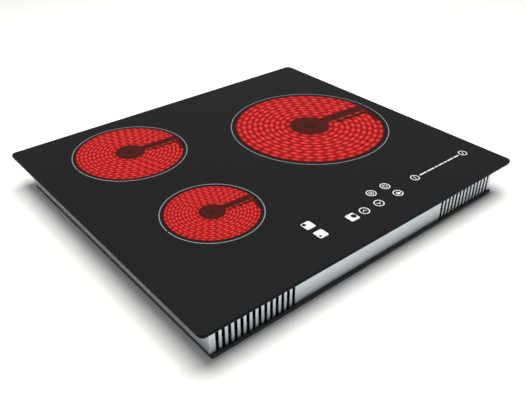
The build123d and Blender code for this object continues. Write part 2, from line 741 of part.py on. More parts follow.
for name, x, y, pan_radius, glow_radius, connector_side, rails, reach in heaters:
    bed_radius = pan_radius - pan_sheet - bed_clearance
    stud_points = [(x - rails / 2, y), (x + rails / 2, y)]
    bridge_axis = (cos(radians(bridge_angle)), sin(radians(bridge_angle)), 0)
    connector_axis = (cos(radians(connector_side)), sin(radians(connector_side)), 0)

    with BuildPart() as pan:
        with BuildSketch(Plane.XY.offset(pan_floor)):
            with Locations((x, y)):
                Circle(pan_radius)
        extrude(amount=pan_wall)
        fillet(pan.edges().group_by(Axis.Z)[0], radius=pan_foot_radius)
        with BuildSketch(Plane.XY.offset(bed_floor)):
            with Locations((x, y)):
                Circle(pan_radius - pan_sheet)
        extrude(amount=pan_wall, mode=Mode.SUBTRACT)
        with BuildSketch(Plane.XY.offset(pan_floor)):
            with Locations(*stud_points):
                Circle(stud_radius)
        extrude(amount=-stud_length)
    finish(pan, f"heater_{name}_pan")

    bridge_top_y = bridge_upper_share * glow_radius
    bridge_bottom_y = -bridge_lower_share * glow_radius
    hub_radius = hub_share * glow_radius - hub_clearance
    with BuildPart() as bed:
        with BuildSketch(Plane.XY.offset(bed_floor)):
            with Locations((x, y)):
                Circle(bed_radius)
        extrude(amount=bed_thickness)
        bridge_plane = Plane(origin=(x, y, bed_top), x_dir=bridge_axis, z_dir=(0, 0, 1))
        bridge_middle = (bridge_top_y + bridge_bottom_y) / 2
        bridge_half = (bridge_top_y - bridge_bottom_y) / 2
        with BuildSketch(bridge_plane):
            Circle(hub_radius)
            with Locations((hub_radius, bridge_middle)):
                Circle(bridge_half)
            make_hull()
        extrude(amount=bridge_height)
        with BuildSketch(bridge_plane):
            with Locations((0, bridge_middle)):
                Rectangle(glow_radius - hub_clearance, 2 * bridge_half, align=(Align.MIN, Align.CENTER))
        extrude(amount=bridge_height)
        with BuildSketch(Plane.XY.offset(bridge_top)):
            with Locations((x, y)):
                Circle(hub_dimple_radius)
        extrude(amount=-hub_dimple_depth, mode=Mode.SUBTRACT)
    finish(bed, f"heater_{name}_insulation_bed")

    with BuildPart() as rim:
        with BuildSketch(Plane.XY.offset(bed_top)):
            with Locations((x, y)):
                Circle(bed_radius)
                Circle(glow_radius, mode=Mode.SUBTRACT)
        extrude(amount=rim_top - bed_top)
        notch_plane = Plane(origin=(x, y, sensor_height - sensor_radius - sensor_notch_clearance),
                            x_dir=bridge_axis, z_dir=(0, 0, 1))
        with BuildSketch(notch_plane):
            with Locations((0, bridge_middle)):
                Rectangle(2 * pan_radius, 2 * (sensor_radius + sensor_notch_clearance),
                          align=(Align.MIN, Align.CENTER))
        extrude(amount=heater_height, mode=Mode.SUBTRACT)
    finish(rim, f"heater_{name}_insulation_rim")

    with BuildPart() as ribbon:
        with BuildSketch(Plane(origin=(x, y, bed_top), x_dir=bridge_axis, z_dir=(0, 0, 1))):
            ribbon_sketch(glow_radius)
        extrude(amount=ribbon_height)
    finish(ribbon, f"heater_{name}_ribbon")

    # the sensor tube lies on the bridge, in line with it, and ends at the rim
    sensor_start = hub_dimple_radius + sensor_end_land
    with BuildPart() as sensor:
        tube_plane = Plane(origin=(x, y, sensor_height), x_dir=(0, 0, -1), z_dir=bridge_axis)
        with BuildSketch(tube_plane.offset(sensor_start)):
            with Locations((0, bridge_middle)):
                Circle(sensor_radius)
        extrude(amount=bed_radius - sensor_end_land - sensor_start)
        fillet(sensor.edges().sort_by(Axis.X)[0], radius=sensor_radius * 0.6)
    finish(sensor, f"heater_{name}_sensor_tube")

    block_floor = pan_floor + connector_lift
    with BuildPart() as connector:
        block_plane = Plane(origin=(x, y, block_floor), x_dir=connector_axis, z_dir=(0, 0, 1))
        with BuildSketch(block_plane):
            with Locations((pan_radius - connector_depth, 0)):
                Rectangle(2 * connector_depth, connector_width, align=(Align.MIN, Align.CENTER))
            Circle(pan_radius + connector_seat, mode=Mode.SUBTRACT)
        extrude(amount=connector_height)
        fillet(connector.edges().filter_by(Axis.Z).sort_by_distance((x, y, block_floor))[-2:],
               radius=connector_corner)
    finish(connector, f"heater_{name}_connector")

    with BuildPart() as tabs:
        tab_plane = Plane(origin=(x, y, tab_height - tab_thickness / 2),
                          x_dir=connector_axis, z_dir=(0, 0, 1))
        with BuildSketch(tab_plane):
            with Locations((pan_radius + connector_depth, -tab_spacing / 2),
                           (pan_radius + connector_depth, tab_spacing / 2)):
                Rectangle(tab_length, tab_width, align=(Align.MIN, Align.CENTER))
        extrude(amount=tab_thickness)
    finish(tabs, f"heater_{name}_tabs")

    # bow springs, two on each rail, feet flat on the rail and crown under the pan
    spring_rise = pan_floor - rail_head - spring_seat
    with BuildPart() as springs:
        for spring_x in (x - rails / 2, x + rails / 2):
            for spring_y in (y - reach, y + reach):
                with BuildSketch(Plane.YZ.offset(spring_x - spring_width / 2)):
                    half = spring_span / 2
                    foot = half - spring_foot
                    low = rail_head + spring_sheet / 2
                    crown = rail_head + spring_rise - spring_sheet / 2
                    with BuildLine():
                        Line((spring_y - half, low), (spring_y - foot, low))
                        ThreePointArc((spring_y - foot, low), (spring_y, crown),
                                      (spring_y + foot, low))
                        Line((spring_y + foot, low), (spring_y + half, low))
                    trace(line_width=spring_sheet)
                extrude(amount=spring_width)
    finish(springs, f"heater_{name}_springs")

# =========================================================================================
# Touch control under the front of the glass
# =========================================================================================
with BuildPart() as control_carrier:
    with BuildSketch(Plane.XY.offset(carrier_floor)):
        with Locations((carrier_x, carrier_y)):
            RectangleRounded(carrier_width, carrier_depth, carrier_corner)
    extrude(amount=carrier_height)
    with BuildSketch(Plane.XY.offset(carrier_floor + carrier_wall)):
        with Locations((carrier_x, carrier_y)):
            RectangleRounded(carrier_width - 2 * carrier_wall, carrier_depth - 2 * carrier_wall,
                             carrier_corner - carrier_wall)
    extrude(amount=carrier_height, mode=Mode.SUBTRACT)
    # seats for the touch board, over the legs
    with BuildSketch(Plane.XY.offset(carrier_floor + carrier_wall)):
        with Locations(*carrier_legs):
            Circle(carrier_leg_radius)
    extrude(amount=touch_board_top - board_thickness - carrier_floor - carrier_wall)
    with BuildSketch(Plane.XY.offset(base_height)):
        with Locations(*carrier_legs):
            Circle(carrier_leg_radius)
    extrude(amount=carrier_floor - base_height)
    round_holes(carrier_legs, base_height, screw_length, screw_radius + thread_clearance)
    # mouths for the supply cable at the back and the blower's cable on the left
    with BuildSketch(Plane.XZ.offset(-carrier_back)):
        with Locations((cable_lane, carrier_exit)):
            Circle(cable_radius + thread_clearance)
    extrude(amount=carrier_wall, mode=Mode.SUBTRACT)
    with BuildSketch(Plane.YZ.offset(carrier_left)):
        with Locations((fan_y, carrier_exit)):
            Circle(wire_radius + thread_clearance)
    extrude(amount=carrier_wall, mode=Mode.SUBTRACT)
finish(control_carrier, "control_carrier")

with BuildPart() as touch_board:
    with BuildSketch(Plane.XY.offset(touch_board_top - board_thickness)):
        with Locations((carrier_x, carrier_y)):
            RectangleRounded(carrier_width - 2 * (carrier_wall + board_play),
                             carrier_depth - 2 * (carrier_wall + board_play), board_corner)
    extrude(amount=board_thickness)
finish(touch_board, "touch_board")

with BuildPart() as touch_pads:
    with BuildSketch(Plane.XY.offset(touch_board_top)):
        with Locations(*ring_keys):
            Circle(pad_radius)
        with Locations((slider_line_x + slider_length / 2, slider_y)):
            RectangleRounded(slider_length, 2 * pad_radius, pad_radius / 2)
    extrude(amount=glass_bottom - pad_clearance - touch_board_top)
finish(touch_pads, "touch_pads")

with BuildPart() as lamp_leds:
    with BuildSketch(Plane.XY.offset(touch_board_top)):
        for (x, y), (spot_x, spot_y, spot_radius) in zip(lamp_places, lamp_spots):
            with Locations((x + spot_x, y + spot_y)):
                Rectangle(led_side, led_side)
    extrude(amount=led_height)
finish(lamp_leds, "lamp_leds")

with BuildPart() as touch_board_chips:
    # touch controller, its driver, the blower's plug and a sounder
    with BuildSketch(Plane.XY.offset(touch_board_top)):
        with Locations((level_left_x, key_back_y)):
            Rectangle(controller_side, controller_side)
        with Locations((slider_left_x - controller_side - pad_radius, key_back_y)):
            Rectangle(controller_side / 2, controller_side / 2)
        with Locations((lamp_right_x - lamp_spacing / 2, key_back_y)):
            Rectangle(controller_side, controller_side / 2)
    extrude(amount=chip_height)
    with BuildSketch(Plane.XY.offset(touch_board_top)):
        with Locations((slider_right_x - 2 * controller_side, key_back_y)):
            Circle(sounder_radius)
    extrude(amount=sounder_height)
finish(touch_board_chips, "touch_board_chips")

# =========================================================================================
# Power board with its parts
# =========================================================================================
with BuildPart() as board_standoffs:
    with BuildSketch(Plane.XY.offset(base_sheet)):
        with Locations(*standoff_points):
            RegularPolygon(standoff_radius, 6)
            Circle(screw_radius + thread_clearance, mode=Mode.SUBTRACT)
    extrude(amount=standoff_height)
finish(board_standoffs, "board_standoffs")

with BuildPart() as power_board:
    with BuildSketch(Plane.XY.offset(power_board_bottom)):
        with Locations((board_x, board_y)):
            RectangleRounded(power_board_width, power_board_depth, board_corner)
        with Locations(*standoff_points):
            Circle(screw_radius + hole_clearance, mode=Mode.SUBTRACT)
    extrude(amount=board_thickness)
finish(power_board, "power_board")

with BuildPart() as board_screws:
    screws(standoff_points, power_board_top, screw_length, -1)
finish(board_screws, "board_screws")

with BuildPart() as board_terminals:
    with BuildSketch(Plane.XY.offset(power_board_top)):
        with Locations(*[(pole, board_front + pole_depth / 2) for pole in heater_poles]):
            Rectangle(pole_pitch - pole_gap, pole_depth)
        with Locations(*[(board_right - pole_depth / 2, pole) for pole in mains_poles]):
            Rectangle(pole_depth, pole_pitch - pole_gap)
    extrude(amount=pole_height)
    with BuildSketch(Plane.XY.offset(power_board_top + pole_height)):
        with Locations(*[(pole, board_front + pole_depth / 2) for pole in heater_poles]):
            Circle(pole_screw_radius)
        with Locations(*[(board_right - pole_depth / 2, pole) for pole in mains_poles]):
            Circle(pole_screw_radius)
    extrude(amount=-pole_screw_depth, mode=Mode.SUBTRACT)
    # socket of the control cable
    with BuildSketch(Plane.XY.offset(power_board_top)):
        with Locations((cable_lane, board_front + pole_depth / 2)):
            Rectangle(socket_width, pole_depth)
    extrude(amount=socket_height)
finish(board_terminals, "board_terminals")

relay_left = board_left + relay_from_left
relay_y = board_back - relay_from_back - relay_depth / 2
with BuildPart() as power_relays:
    with BuildSketch(Plane.XY.offset(power_board_top)):
        with Locations(*[(relay_left + relay * relay_pitch, relay_y) for relay in range(3)]):
            Rectangle(relay_width, relay_depth)
    extrude(amount=relay_height)
    fillet(power_relays.edges().group_by(Axis.Z)[-1], radius=0.6)
finish(power_relays, "power_relays")

transformer_x = relay_left + 2 * relay_pitch + relay_width / 2 + transformer_gap
with BuildPart() as supply_transformer:
    with BuildSketch(Plane.XY.offset(power_board_top)):
        with Locations((transformer_x, board_y)):
            Rectangle(transformer_width, transformer_depth)
    extrude(amount=transformer_flange)
    with BuildSketch(Plane.XY.offset(power_board_top + transformer_flange)):
        with Locations((transformer_x, board_y)):
            Rectangle(transformer_width - 2 * transformer_waist,
                      transformer_depth - 2 * transformer_waist)
    extrude(amount=transformer_height - 2 * transformer_flange)
    with BuildSketch(Plane.XY.offset(power_board_top + transformer_height)):
        with Locations((transformer_x, board_y)):
            Rectangle(transformer_width, transformer_depth)
    extrude(amount=-transformer_flange)
finish(supply_transformer, "supply_transformer")

capacitor_x = transformer_x + transformer_width / 2 + capacitor_gap + capacitor_radius
with BuildPart() as supply_capacitors:
    with BuildSketch(Plane.XY.offset(power_board_top)):
        with Locations((capacitor_x, board_y)):
            with GridLocations(0, capacitor_spacing, 1, 2):
                Circle(capacitor_radius)
    extrude(amount=capacitor_height)
    fillet(supply_capacitors.edges().group_by(Axis.Z)[-1], radius=capacitor_edge)
finish(supply_capacitors, "supply_capacitors")

# =========================================================================================
# Mains terminal block and cable gland
# =========================================================================================
mains_pole_x = [mains_block_x + (pole - 2) * mains_pole_pitch for pole in range(5)]
mains_top = base_sheet + mains_block_height
with BuildPart() as mains_terminal_block:
    with BuildSketch(Plane.XY.offset(base_sheet)):
        with Locations((mains_block_x, board_y)):
            RectangleRounded(mains_block_width, mains_block_depth, mains_block_corner)
    extrude(amount=mains_block_height)
    with BuildSketch(Plane.XY.offset(mains_top)):
        with Locations((mains_block_x, board_y)):
            with GridLocations(mains_pole_pitch, mains_block_depth / 2, 5, 2):
                Circle(mains_screw_radius + mains_screw_play)
    extrude(amount=-mains_screw_depth, mode=Mode.SUBTRACT)
    # cable mouths towards the rear wall
    with BuildSketch(Plane.XZ.offset(-(board_y + mains_block_depth / 2))):
        with Locations(*[(pole, base_sheet + mains_mouth_height) for pole in mains_pole_x]):
            Circle(mains_mouth_radius)
    extrude(amount=mains_screw_depth, mode=Mode.SUBTRACT)
finish(mains_terminal_block, "mains_terminal_block")

with BuildPart() as mains_terminal_screws:
    with BuildSketch(Plane.XY.offset(mains_top - mains_screw_depth)):
        with Locations((mains_block_x, board_y)):
            with GridLocations(mains_pole_pitch, mains_block_depth / 2, 5, 2):
                Circle(mains_screw_radius)
    extrude(amount=mains_screw_length)
    with BuildSketch(Plane.XY.offset(mains_top - mains_screw_depth + mains_screw_length)):
        with Locations((mains_block_x, board_y)):
            with GridLocations(mains_pole_pitch, mains_block_depth / 2, 5, 2):
                Rectangle(2 * mains_screw_radius, 0.8)
    extrude(amount=-1.2, mode=Mode.SUBTRACT)
finish(mains_terminal_screws, "mains_terminal_screws")

gland_wall = Plane(origin=(gland_x, casing_y, gland_height), x_dir=(1, 0, 0), z_dir=(0, 1, 0))
with BuildPart() as cable_gland:
    with BuildSketch(gland_wall):
        Circle(gland_collar_radius)
    extrude(amount=gland_collar_thickness)
    fillet(cable_gland.edges().sort_by(Axis.Y)[-1], radius=gland_collar_round)
    with BuildSketch(gland_wall):
        Circle(gland_thread_radius)
    extrude(amount=-gland_inner_length)
    with BuildSketch(gland_wall.offset(-gland_inner_length)):
        Circle(gland_bore_radius)
    extrude(amount=gland_inner_length + gland_collar_thickness, mode=Mode.SUBTRACT)
finish(cable_gland, "cable_gland")

with BuildPart() as gland_locknut:
    with BuildSketch(gland_wall.offset(-casing_sheet)):
        RegularPolygon(gland_nut_radius, 6)
        Circle(gland_thread_radius + thread_clearance, mode=Mode.SUBTRACT)
    extrude(amount=-gland_nut_thickness)
finish(gland_locknut, "gland_locknut")


# =========================================================================================
# Cooling blower behind the left vents
# =========================================================================================
def scroll_outline(grow):
    """Plan of the blower's air space, grown by a wall, in the sketch being built."""
    with Locations((fan_x, fan_y)):
        Circle(scroll_radius + grow)
    with Locations((fan_x, fan_y - outlet_reach / 2)):
        Rectangle(outlet_width + 2 * grow, outlet_reach)


with BuildPart() as fan_housing:
    with BuildSketch(Plane.XY.offset(fan_floor)):
        scroll_outline(fan_wall)
        with Locations(*ear_points):
            Circle(ear_radius)
    extrude(amount=fan_lid - fan_floor)
    with BuildSketch(Plane.XY.offset(fan_floor + fan_wall)):
        scroll_outline(0)
    extrude(amount=fan_lid - fan_floor, mode=Mode.SUBTRACT)
    round_holes([(fan_x, fan_y)], fan_floor, fan_wall, inlet_radius)
    round_holes(ear_points, fan_floor, fan_height, screw_radius + hole_clearance)
finish(fan_housing, "fan_housing")

rotor_top = fan_lid - rotor_gap
blade_floor = fan_floor + fan_wall + impeller_rise
hub_floor = blade_floor + impeller_hub_wall
motor_floor = hub_floor + rotor_gap
spindle_top = fan_lid + fan_wall / 2
with BuildPart() as fan_cover:
    with BuildSketch(Plane.XY.offset(fan_lid)):
        scroll_outline(fan_wall)
        with Locations(*ear_points):
            Circle(ear_radius)
    extrude(amount=fan_wall)
    # motor core that hangs from the cover into the hub of the rotor
    with BuildSketch(Plane.XY.offset(motor_floor)):
        with Locations((fan_x, fan_y)):
            Circle(motor_radius)
    extrude(amount=fan_lid - motor_floor)
    round_holes([(fan_x, fan_y)], motor_floor, spindle_top - motor_floor,
                spindle_radius + spindle_clearance)
    round_holes(ear_points, fan_lid, fan_wall, screw_radius + hole_clearance)
finish(fan_cover, "fan_cover")

blade_length = impeller_radius - impeller_eye
with BuildPart() as fan_rotor:
    with BuildSketch(Plane.XY.offset(blade_floor)):
        with Locations((fan_x, fan_y)):
            Circle(impeller_hub)
    extrude(amount=rotor_top - blade_floor)
    # blades stand on a plate that joins them to the hub, and a rim ties their free ends
    with BuildSketch(Plane.XY.offset(rotor_top - impeller_plate)):
        with Locations((fan_x, fan_y)):
            Circle(impeller_radius)
    extrude(amount=impeller_plate)
    with BuildSketch(Plane.XY.offset(blade_floor)):
        with Locations((fan_x, fan_y)):
            with PolarLocations((impeller_radius + impeller_eye) / 2, blade_count):
                Rectangle(blade_length, blade_thickness, rotation=blade_lean)
    extrude(amount=rotor_top - impeller_plate - blade_floor)
    with BuildSketch(Plane.XY.offset(blade_floor)):
        with Locations((fan_x, fan_y)):
            Circle(impeller_radius)
            Circle(impeller_radius - impeller_rim, mode=Mode.SUBTRACT)
    extrude(amount=impeller_plate)
    round_holes([(fan_x, fan_y)], hub_floor, rotor_top - hub_floor,
                impeller_hub - impeller_hub_wall)
    with BuildSketch(Plane.XY.offset(hub_floor)):
        with Locations((fan_x, fan_y)):
            Circle(spindle_radius)
    extrude(amount=spindle_top - rotor_gap - hub_floor)
finish(fan_rotor, "fan_rotor")

with BuildPart() as fan_screws:
    screws(ear_points, fan_floor + fan_height, fan_height + base_height - base_sheet, -1)
finish(fan_screws, "fan_screws")


# =========================================================================================
# Wiring
# =========================================================================================
def heater_wire_routes():
    """Routes of the six heater wires, from each heater's two tabs to the board's poles."""
    routes = []
    poles = iter(heater_poles)
    for order, tab_signs in ((1, (1, -1)), (0, (-1, 1)), (2, (1, -1))):
        name, x, y, pan_radius, glow_radius, connector_side, rails, reach = heaters[order]
        out_x = cos(radians(connector_side))
        out_y = sin(radians(connector_side))
        start = pan_radius + connector_depth + tab_length + wire_end_gap
        for tab in tab_signs:
            tab_x = x - out_y * tab * tab_spacing / 2
            tab_y = y + out_x * tab * tab_spacing / 2
            drop_x = tab_x + out_x * (start + tab_run)
            drop_y = tab_y + out_y * (start + tab_run)
            pole_x = next(poles)
            routes.append([
                (tab_x + out_x * start, tab_y + out_y * start, tab_height),
                (drop_x, drop_y, tab_height),
                (drop_x, drop_y, trunk_height),
                (pole_x, drop_y, trunk_height),
                (pole_x, board_front - turn_margin, trunk_height),
                (pole_x, board_front - turn_margin, wire_entry),
                (pole_x, board_front - wire_end_gap, wire_entry),
            ])
    return routes


with BuildPart() as heater_wires:
    for points in heater_wire_routes():
        tube(points, wire_bend, wire_radius)
finish(heater_wires, "heater_wires")

with BuildPart() as mains_wires:
    mains_block_left = mains_block_x - mains_block_width / 2
    with BuildSketch(Plane.YZ.offset(board_right + wire_end_gap)):
        with Locations(*[(pole, wire_entry) for pole in mains_poles]):
            Circle(wire_radius)
    extrude(amount=mains_block_left - board_right - 2 * wire_end_gap)
finish(mains_wires, "mains_wires")

with BuildPart() as control_cable:
    socket_z = power_board_top + socket_height / 2
    tube([
        (cable_lane, carrier_back - carrier_wall, carrier_exit),
        (cable_lane, carrier_back + 2 * turn_margin, carrier_exit),
        (cable_lane, carrier_back + 2 * turn_margin, cable_height),
        (cable_lane, board_front - 2 * turn_margin, cable_height),
        (cable_lane, board_front - 2 * turn_margin, socket_z),
        (cable_lane, board_front - wire_end_gap, socket_z),
    ], cable_bend, cable_radius)
finish(control_cable, "control_cable")

with BuildPart() as fan_cable:
    cable_z = fan_floor + fan_height / 2
    tube([
        (fan_x + scroll_radius + fan_wall + wire_end_gap, fan_y, cable_z),
        (carrier_left - 2 * turn_margin, fan_y, cable_z),
        (carrier_left - 2 * turn_margin, fan_y, carrier_exit),
        (carrier_left + carrier_wall, fan_y, carrier_exit),
    ], cable_bend, wire_radius)
finish(fan_cable, "fan_cable")

saddle_left = heater_poles[0] - wire_radius - wire_end_gap
saddle_right = cable_lane + cable_radius + wire_end_gap
saddle_under = cable_height + cable_radius + wire_end_gap - base_sheet
saddle_inside = saddle_right - saddle_left
with BuildPart() as wire_saddles:
    for place in saddle_places:
        with BuildSketch(Plane.XZ.offset(place - board_front)):
            with Locations(((saddle_left + saddle_right) / 2, base_sheet)):
                Rectangle(saddle_inside + 2 * saddle_foot, saddle_sheet,
                          align=(Align.CENTER, Align.MIN))
                Rectangle(saddle_inside + 2 * saddle_sheet, saddle_under + saddle_sheet,
                          align=(Align.CENTER, Align.MIN))
                Rectangle(saddle_inside, saddle_under, align=(Align.CENTER, Align.MIN),
                          mode=Mode.SUBTRACT)
        extrude(amount=saddle_width)
finish(wire_saddles, "wire_saddles")
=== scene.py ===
"""Looks of a built-in glass-ceramic hob with three glowing radiant zones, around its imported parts."""

import math

import bmesh
import bpy
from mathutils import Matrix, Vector


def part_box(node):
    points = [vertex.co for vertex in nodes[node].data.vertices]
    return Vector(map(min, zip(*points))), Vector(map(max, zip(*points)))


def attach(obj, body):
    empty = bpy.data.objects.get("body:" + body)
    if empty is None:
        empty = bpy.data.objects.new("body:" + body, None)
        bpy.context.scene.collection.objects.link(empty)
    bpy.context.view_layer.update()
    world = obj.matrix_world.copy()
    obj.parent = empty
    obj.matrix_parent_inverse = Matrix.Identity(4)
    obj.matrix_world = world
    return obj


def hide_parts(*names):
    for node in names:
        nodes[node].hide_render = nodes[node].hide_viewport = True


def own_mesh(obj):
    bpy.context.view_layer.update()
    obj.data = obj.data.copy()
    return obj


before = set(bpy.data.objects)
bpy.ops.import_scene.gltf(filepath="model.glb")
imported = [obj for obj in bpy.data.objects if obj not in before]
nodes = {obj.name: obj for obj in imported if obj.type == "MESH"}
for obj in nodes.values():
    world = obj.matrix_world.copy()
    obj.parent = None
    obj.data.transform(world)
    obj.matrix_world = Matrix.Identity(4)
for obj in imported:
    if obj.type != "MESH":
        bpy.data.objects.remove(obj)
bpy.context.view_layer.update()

MM = 0.001

# ---- sizes that the scene's own pieces are drawn with, in metres --------------------------
# ends and edges closer than this lie in the same place
SAME_PLACE = 0.01 * MM

# the glass, and how far below its face the painted shade of its near-black sides ends and the grey is
# full
GLASS_TOP = 59.85 * MM
GLASS_CORNER = 9.0 * MM
GLASS_POLISHED_EDGE = 0.5 * MM
GLASS_GROUND_EDGE = 0.3 * MM
GLASS_EDGE_BAND = 1.0 * MM
GLASS_SHADED_SIDE_DEPTH = 0.10 * MM
GLASS_UNSHADED_FACE_DEPTH = 0.02 * MM

# the skins of glow lie one over the other, just above the glass and level with its prints
GLOW_FIELD = 59.90 * MM
GLOW_END = 59.915 * MM
GLOW_HUB = 59.93 * MM
GLOW_BAND = 59.97 * MM
GLOW_SKIN = 0.03 * MM

# zone name: radius of its glowing field, and the share of it that the cool hub takes
GLOW_SIZE = {
    "right": (126.3 * MM, 0.253),
    "rear_left": (84.5 * MM, 0.261),
    "front_left": (66.4 * MM, 0.268),
}
# where the painted glow of the field, the bands' light on the insulation, begins to die out, and where
# it ends, as shares of its radius
PAINTED_GLOW_FULL = 0.985
GLOW_BLEED = 1.012
# the glow is weakest beside the hub and at the rim, and full between the two shares in HOT_SPAN
COOL_ENDS = (0.27, 1.0)
COOL_END_TONE = "#c4c4c4"
HOT_SPAN = (0.345, 0.925)

# the heating band: its rings, and as shares of their pitch the widths of band and lead, the
# beads' spacing and the room that a hairpin's tip takes
RINGS = 10
BAND_SHARE = 0.97
LEAD_WIDTH = 0.85
BEAD_SPACING = 1.92
TIP_ROOM = 0.75
# length of the straight pieces that the band's arcs are drawn with
BAND_STEP = 2.5 * MM
# tones from the middle of a bead of light out to the dark corner between four beads
TONE_STOPS = (0.22, 0.44, 0.60, 0.76)
BAND_TONES = ("#fa5352", "#ee4443", "#d42b29", "#b31c1a", "#971513", "#7c100e")
LEAD_TONES = ("#c44442", "#b53a38", "#8e2a28", "#6c1d1b", "#561816", "#481513")
# where the band turns back above and below the bar, as shares of the field's radius
UPPER_TIP = 0.092
LOWER_TIP_HUB = 0.122
LOWER_TIP_RIM = 0.185
LEAD_SHARE = 0.093
LEAD_BEND = 0.05
# where the outermost ring ends; the bare insulation from there to the bar is 1.05 pitches deep
OUTER_END = math.radians(-28)
COLD_END_DEPTH = 1.05
COLD_END_RIM = 1.015

# the cool keyhole: how its bar is turned, and in shares of the field's radius the bar's sides
# and end, where the hub has narrowed into it, and how far from the middle the tones of its painted glow
# run
BRIDGE_TURN = math.radians(-3)
BAR_UPPER = 0.075
BAR_LOWER = -0.175
BAR_END = 1.005
HUB_NECK = 0.33
HUB_PAINTED_GLOW_REACH = 0.4
# the hub is open towards the bar over this angle to either side
HUB_MOUTH = math.radians(42)
# straight sides that a round outline is drawn with
HUB_SIDES = 96
FIELD_SIDES = 128

# bow springs; their travel is a heater's, and a little more so that the pan clears them
SPRING_SPAN = 52.0 * MM
SPRING_FOOT = 8.0 * MM
SPRING_WIDTH = 12.0 * MM
SPRING_SHEET = 0.5 * MM
SPRING_STEPS = 16


# =========================================================================================
# Small helpers
# =========================================================================================
def srgb(code):
    """Linear colour, with alpha, of an sRGB hex code."""
    steps = [int(code[i : i + 2], 16) / 255 for i in (1, 3, 5)]
    linear = [c / 12.92 if c <= 0.04045 else ((c + 0.055) / 1.055) ** 2.4 for c in steps]
    return (*linear, 1.0)


def per_mm(size):
    """Scale of a pattern on Object coordinates whose cells are this many millimetres wide."""
    return 1000 / size


def add_node(tree, kind, values=None, **settings):
    """Add a shader node: settings are its attributes, values its sockets' numbers or links."""
    node = tree.nodes.new(kind)
    for name, value in settings.items():
        setattr(node, name, value)
    for socket, value in (values or {}).items():
        if isinstance(value, bpy.types.NodeSocket):
            tree.links.new(value, node.inputs[socket])
        else:
            node.inputs[socket].default_value = value
    return node


def new_finish(name, **sockets):
    """A named material: its node tree, its shader and the coordinates of the piece."""
    material = bpy.data.materials.new(name)
    material.use_nodes = True
    tree = material.node_tree
    tree.nodes.clear()
    shader = add_node(tree, "ShaderNodeBsdfPrincipled", sockets)
    add_node(tree, "ShaderNodeOutputMaterial", {"Surface": shader.outputs["BSDF"]})
    place = add_node(tree, "ShaderNodeTexCoord").outputs["Object"]
    return material, tree, shader, place


def mottle(tree, shader, pattern, dark, light, rough=None):
    """Run the shader's colour between two tones by a pattern, and its roughness too; give the tone."""
    tone = add_node(
        tree, "ShaderNodeMix", {0: pattern, 6: srgb(dark), 7: srgb(light)}, data_type="RGBA"
    )
    tree.links.new(tone.outputs[2], shader.inputs["Base Color"])
    if rough:
        gloss = add_node(
            tree, "ShaderNodeMapRange", {"Value": pattern, "To Min": rough[0], "To Max": rough[1]}
        )
        tree.links.new(gloss.outputs[0], shader.inputs["Roughness"])
    return tone.outputs[2]


def relief(tree, shader, pattern, depth, strength=1.0):
    """Raise a pattern by this many metres on the shader's surface."""
    bump = add_node(
        tree, "ShaderNodeBump", {"Height": pattern, "Distance": depth, "Strength": strength}
    )
    tree.links.new(bump.outputs["Normal"], shader.inputs["Normal"])


# =========================================================================================
# Finishes
# =========================================================================================
def rolled_black_glass_ceramic():
    """Black glass-ceramic: an even deep grey face with a dim sheen, and sides in painted shade,
    near-black with a dimmer sheen.
    """
    material, tree, shader, place = new_finish("rolled_black_glass_ceramic", IOR=1.54)
    # fine ripple left by the roller, about 9 mm from crest to crest
    ripple = add_node(
        tree, "ShaderNodeTexNoise", {"Vector": place, "Scale": per_mm(9), "Detail": 2.0}
    )
    # crystals too small to see are drawn 0.8 mm wide, as a trace of grain in the black
    crystals = add_node(tree, "ShaderNodeTexVoronoi", {"Vector": place, "Scale": per_mm(0.8)})
    grain = crystals.outputs["Distance"]
    face_tone = mottle(tree, shader, grain, "#191919", "#1c1c1c", (0.36, 0.42))
    relief(tree, shader, ripple.outputs[0], 0.004 * MM, 0.4)
    # painted shade: the sides are given a near-black tone and a dimmer sheen than the grey face, so
    # that they look dark
    height = add_node(tree, "ShaderNodeSeparateXYZ", {"Vector": place}).outputs["Z"]
    face = add_node(
        tree,
        "ShaderNodeMapRange",
        {
            "Value": height,
            "From Min": GLASS_TOP - GLASS_SHADED_SIDE_DEPTH,
            "From Max": GLASS_TOP - GLASS_UNSHADED_FACE_DEPTH,
        },
    )
    sheen = add_node(
        tree, "ShaderNodeMapRange", {"Value": face.outputs[0], "To Min": 0.03, "To Max": 0.07}
    )
    tree.links.new(sheen.outputs[0], shader.inputs["Specular IOR Level"])
    tone = add_node(
        tree,
        "ShaderNodeMix",
        {0: face.outputs[0], 6: srgb("#0a0a0a"), 7: face_tone},
        data_type="RGBA",
    )
    tree.links.new(tone.outputs[2], shader.inputs["Base Color"])
    return material


def fired_enamel(name, dark, light):
    """Ceramic enamel printed through a screen and fired: dense, flat, slightly chalky."""
    material, tree, shader, place = new_finish(name, IOR=1.5)
    # the screen's mesh leaves dots about 0.4 mm apart
    dots = add_node(tree, "ShaderNodeTexVoronoi", {"Vector": place, "Scale": per_mm(0.4)})
    mottle(tree, shader, dots.outputs["Distance"], light, dark, (0.35, 0.55))
    return material


def brushed_aluminised_steel():
    """Aluminised sheet brushed along its length: silvery, with fine level scratches."""
    material, tree, shader, place = new_finish("brushed_aluminised_steel", Metallic=1.0)
    # scratches of 0.2 mm would vanish, so they are drawn 0.7 mm high and 150 mm long
    stretch = add_node(
        tree,
        "ShaderNodeMapping",
        {"Vector": place, "Scale": (per_mm(150), per_mm(150), per_mm(0.7))},
    )
    scratches = add_node(
        tree,
        "ShaderNodeTexNoise",
        {"Vector": stretch.outputs[0], "Scale": 1.0, "Detail": 3.0, "Roughness": 0.6},
    )
    mottle(tree, shader, scratches.outputs[0], "#ced6db", "#d8dfe4", (0.35, 0.38))
    relief(tree, shader, scratches.outputs[0], 0.004 * MM, 0.1)
    return material


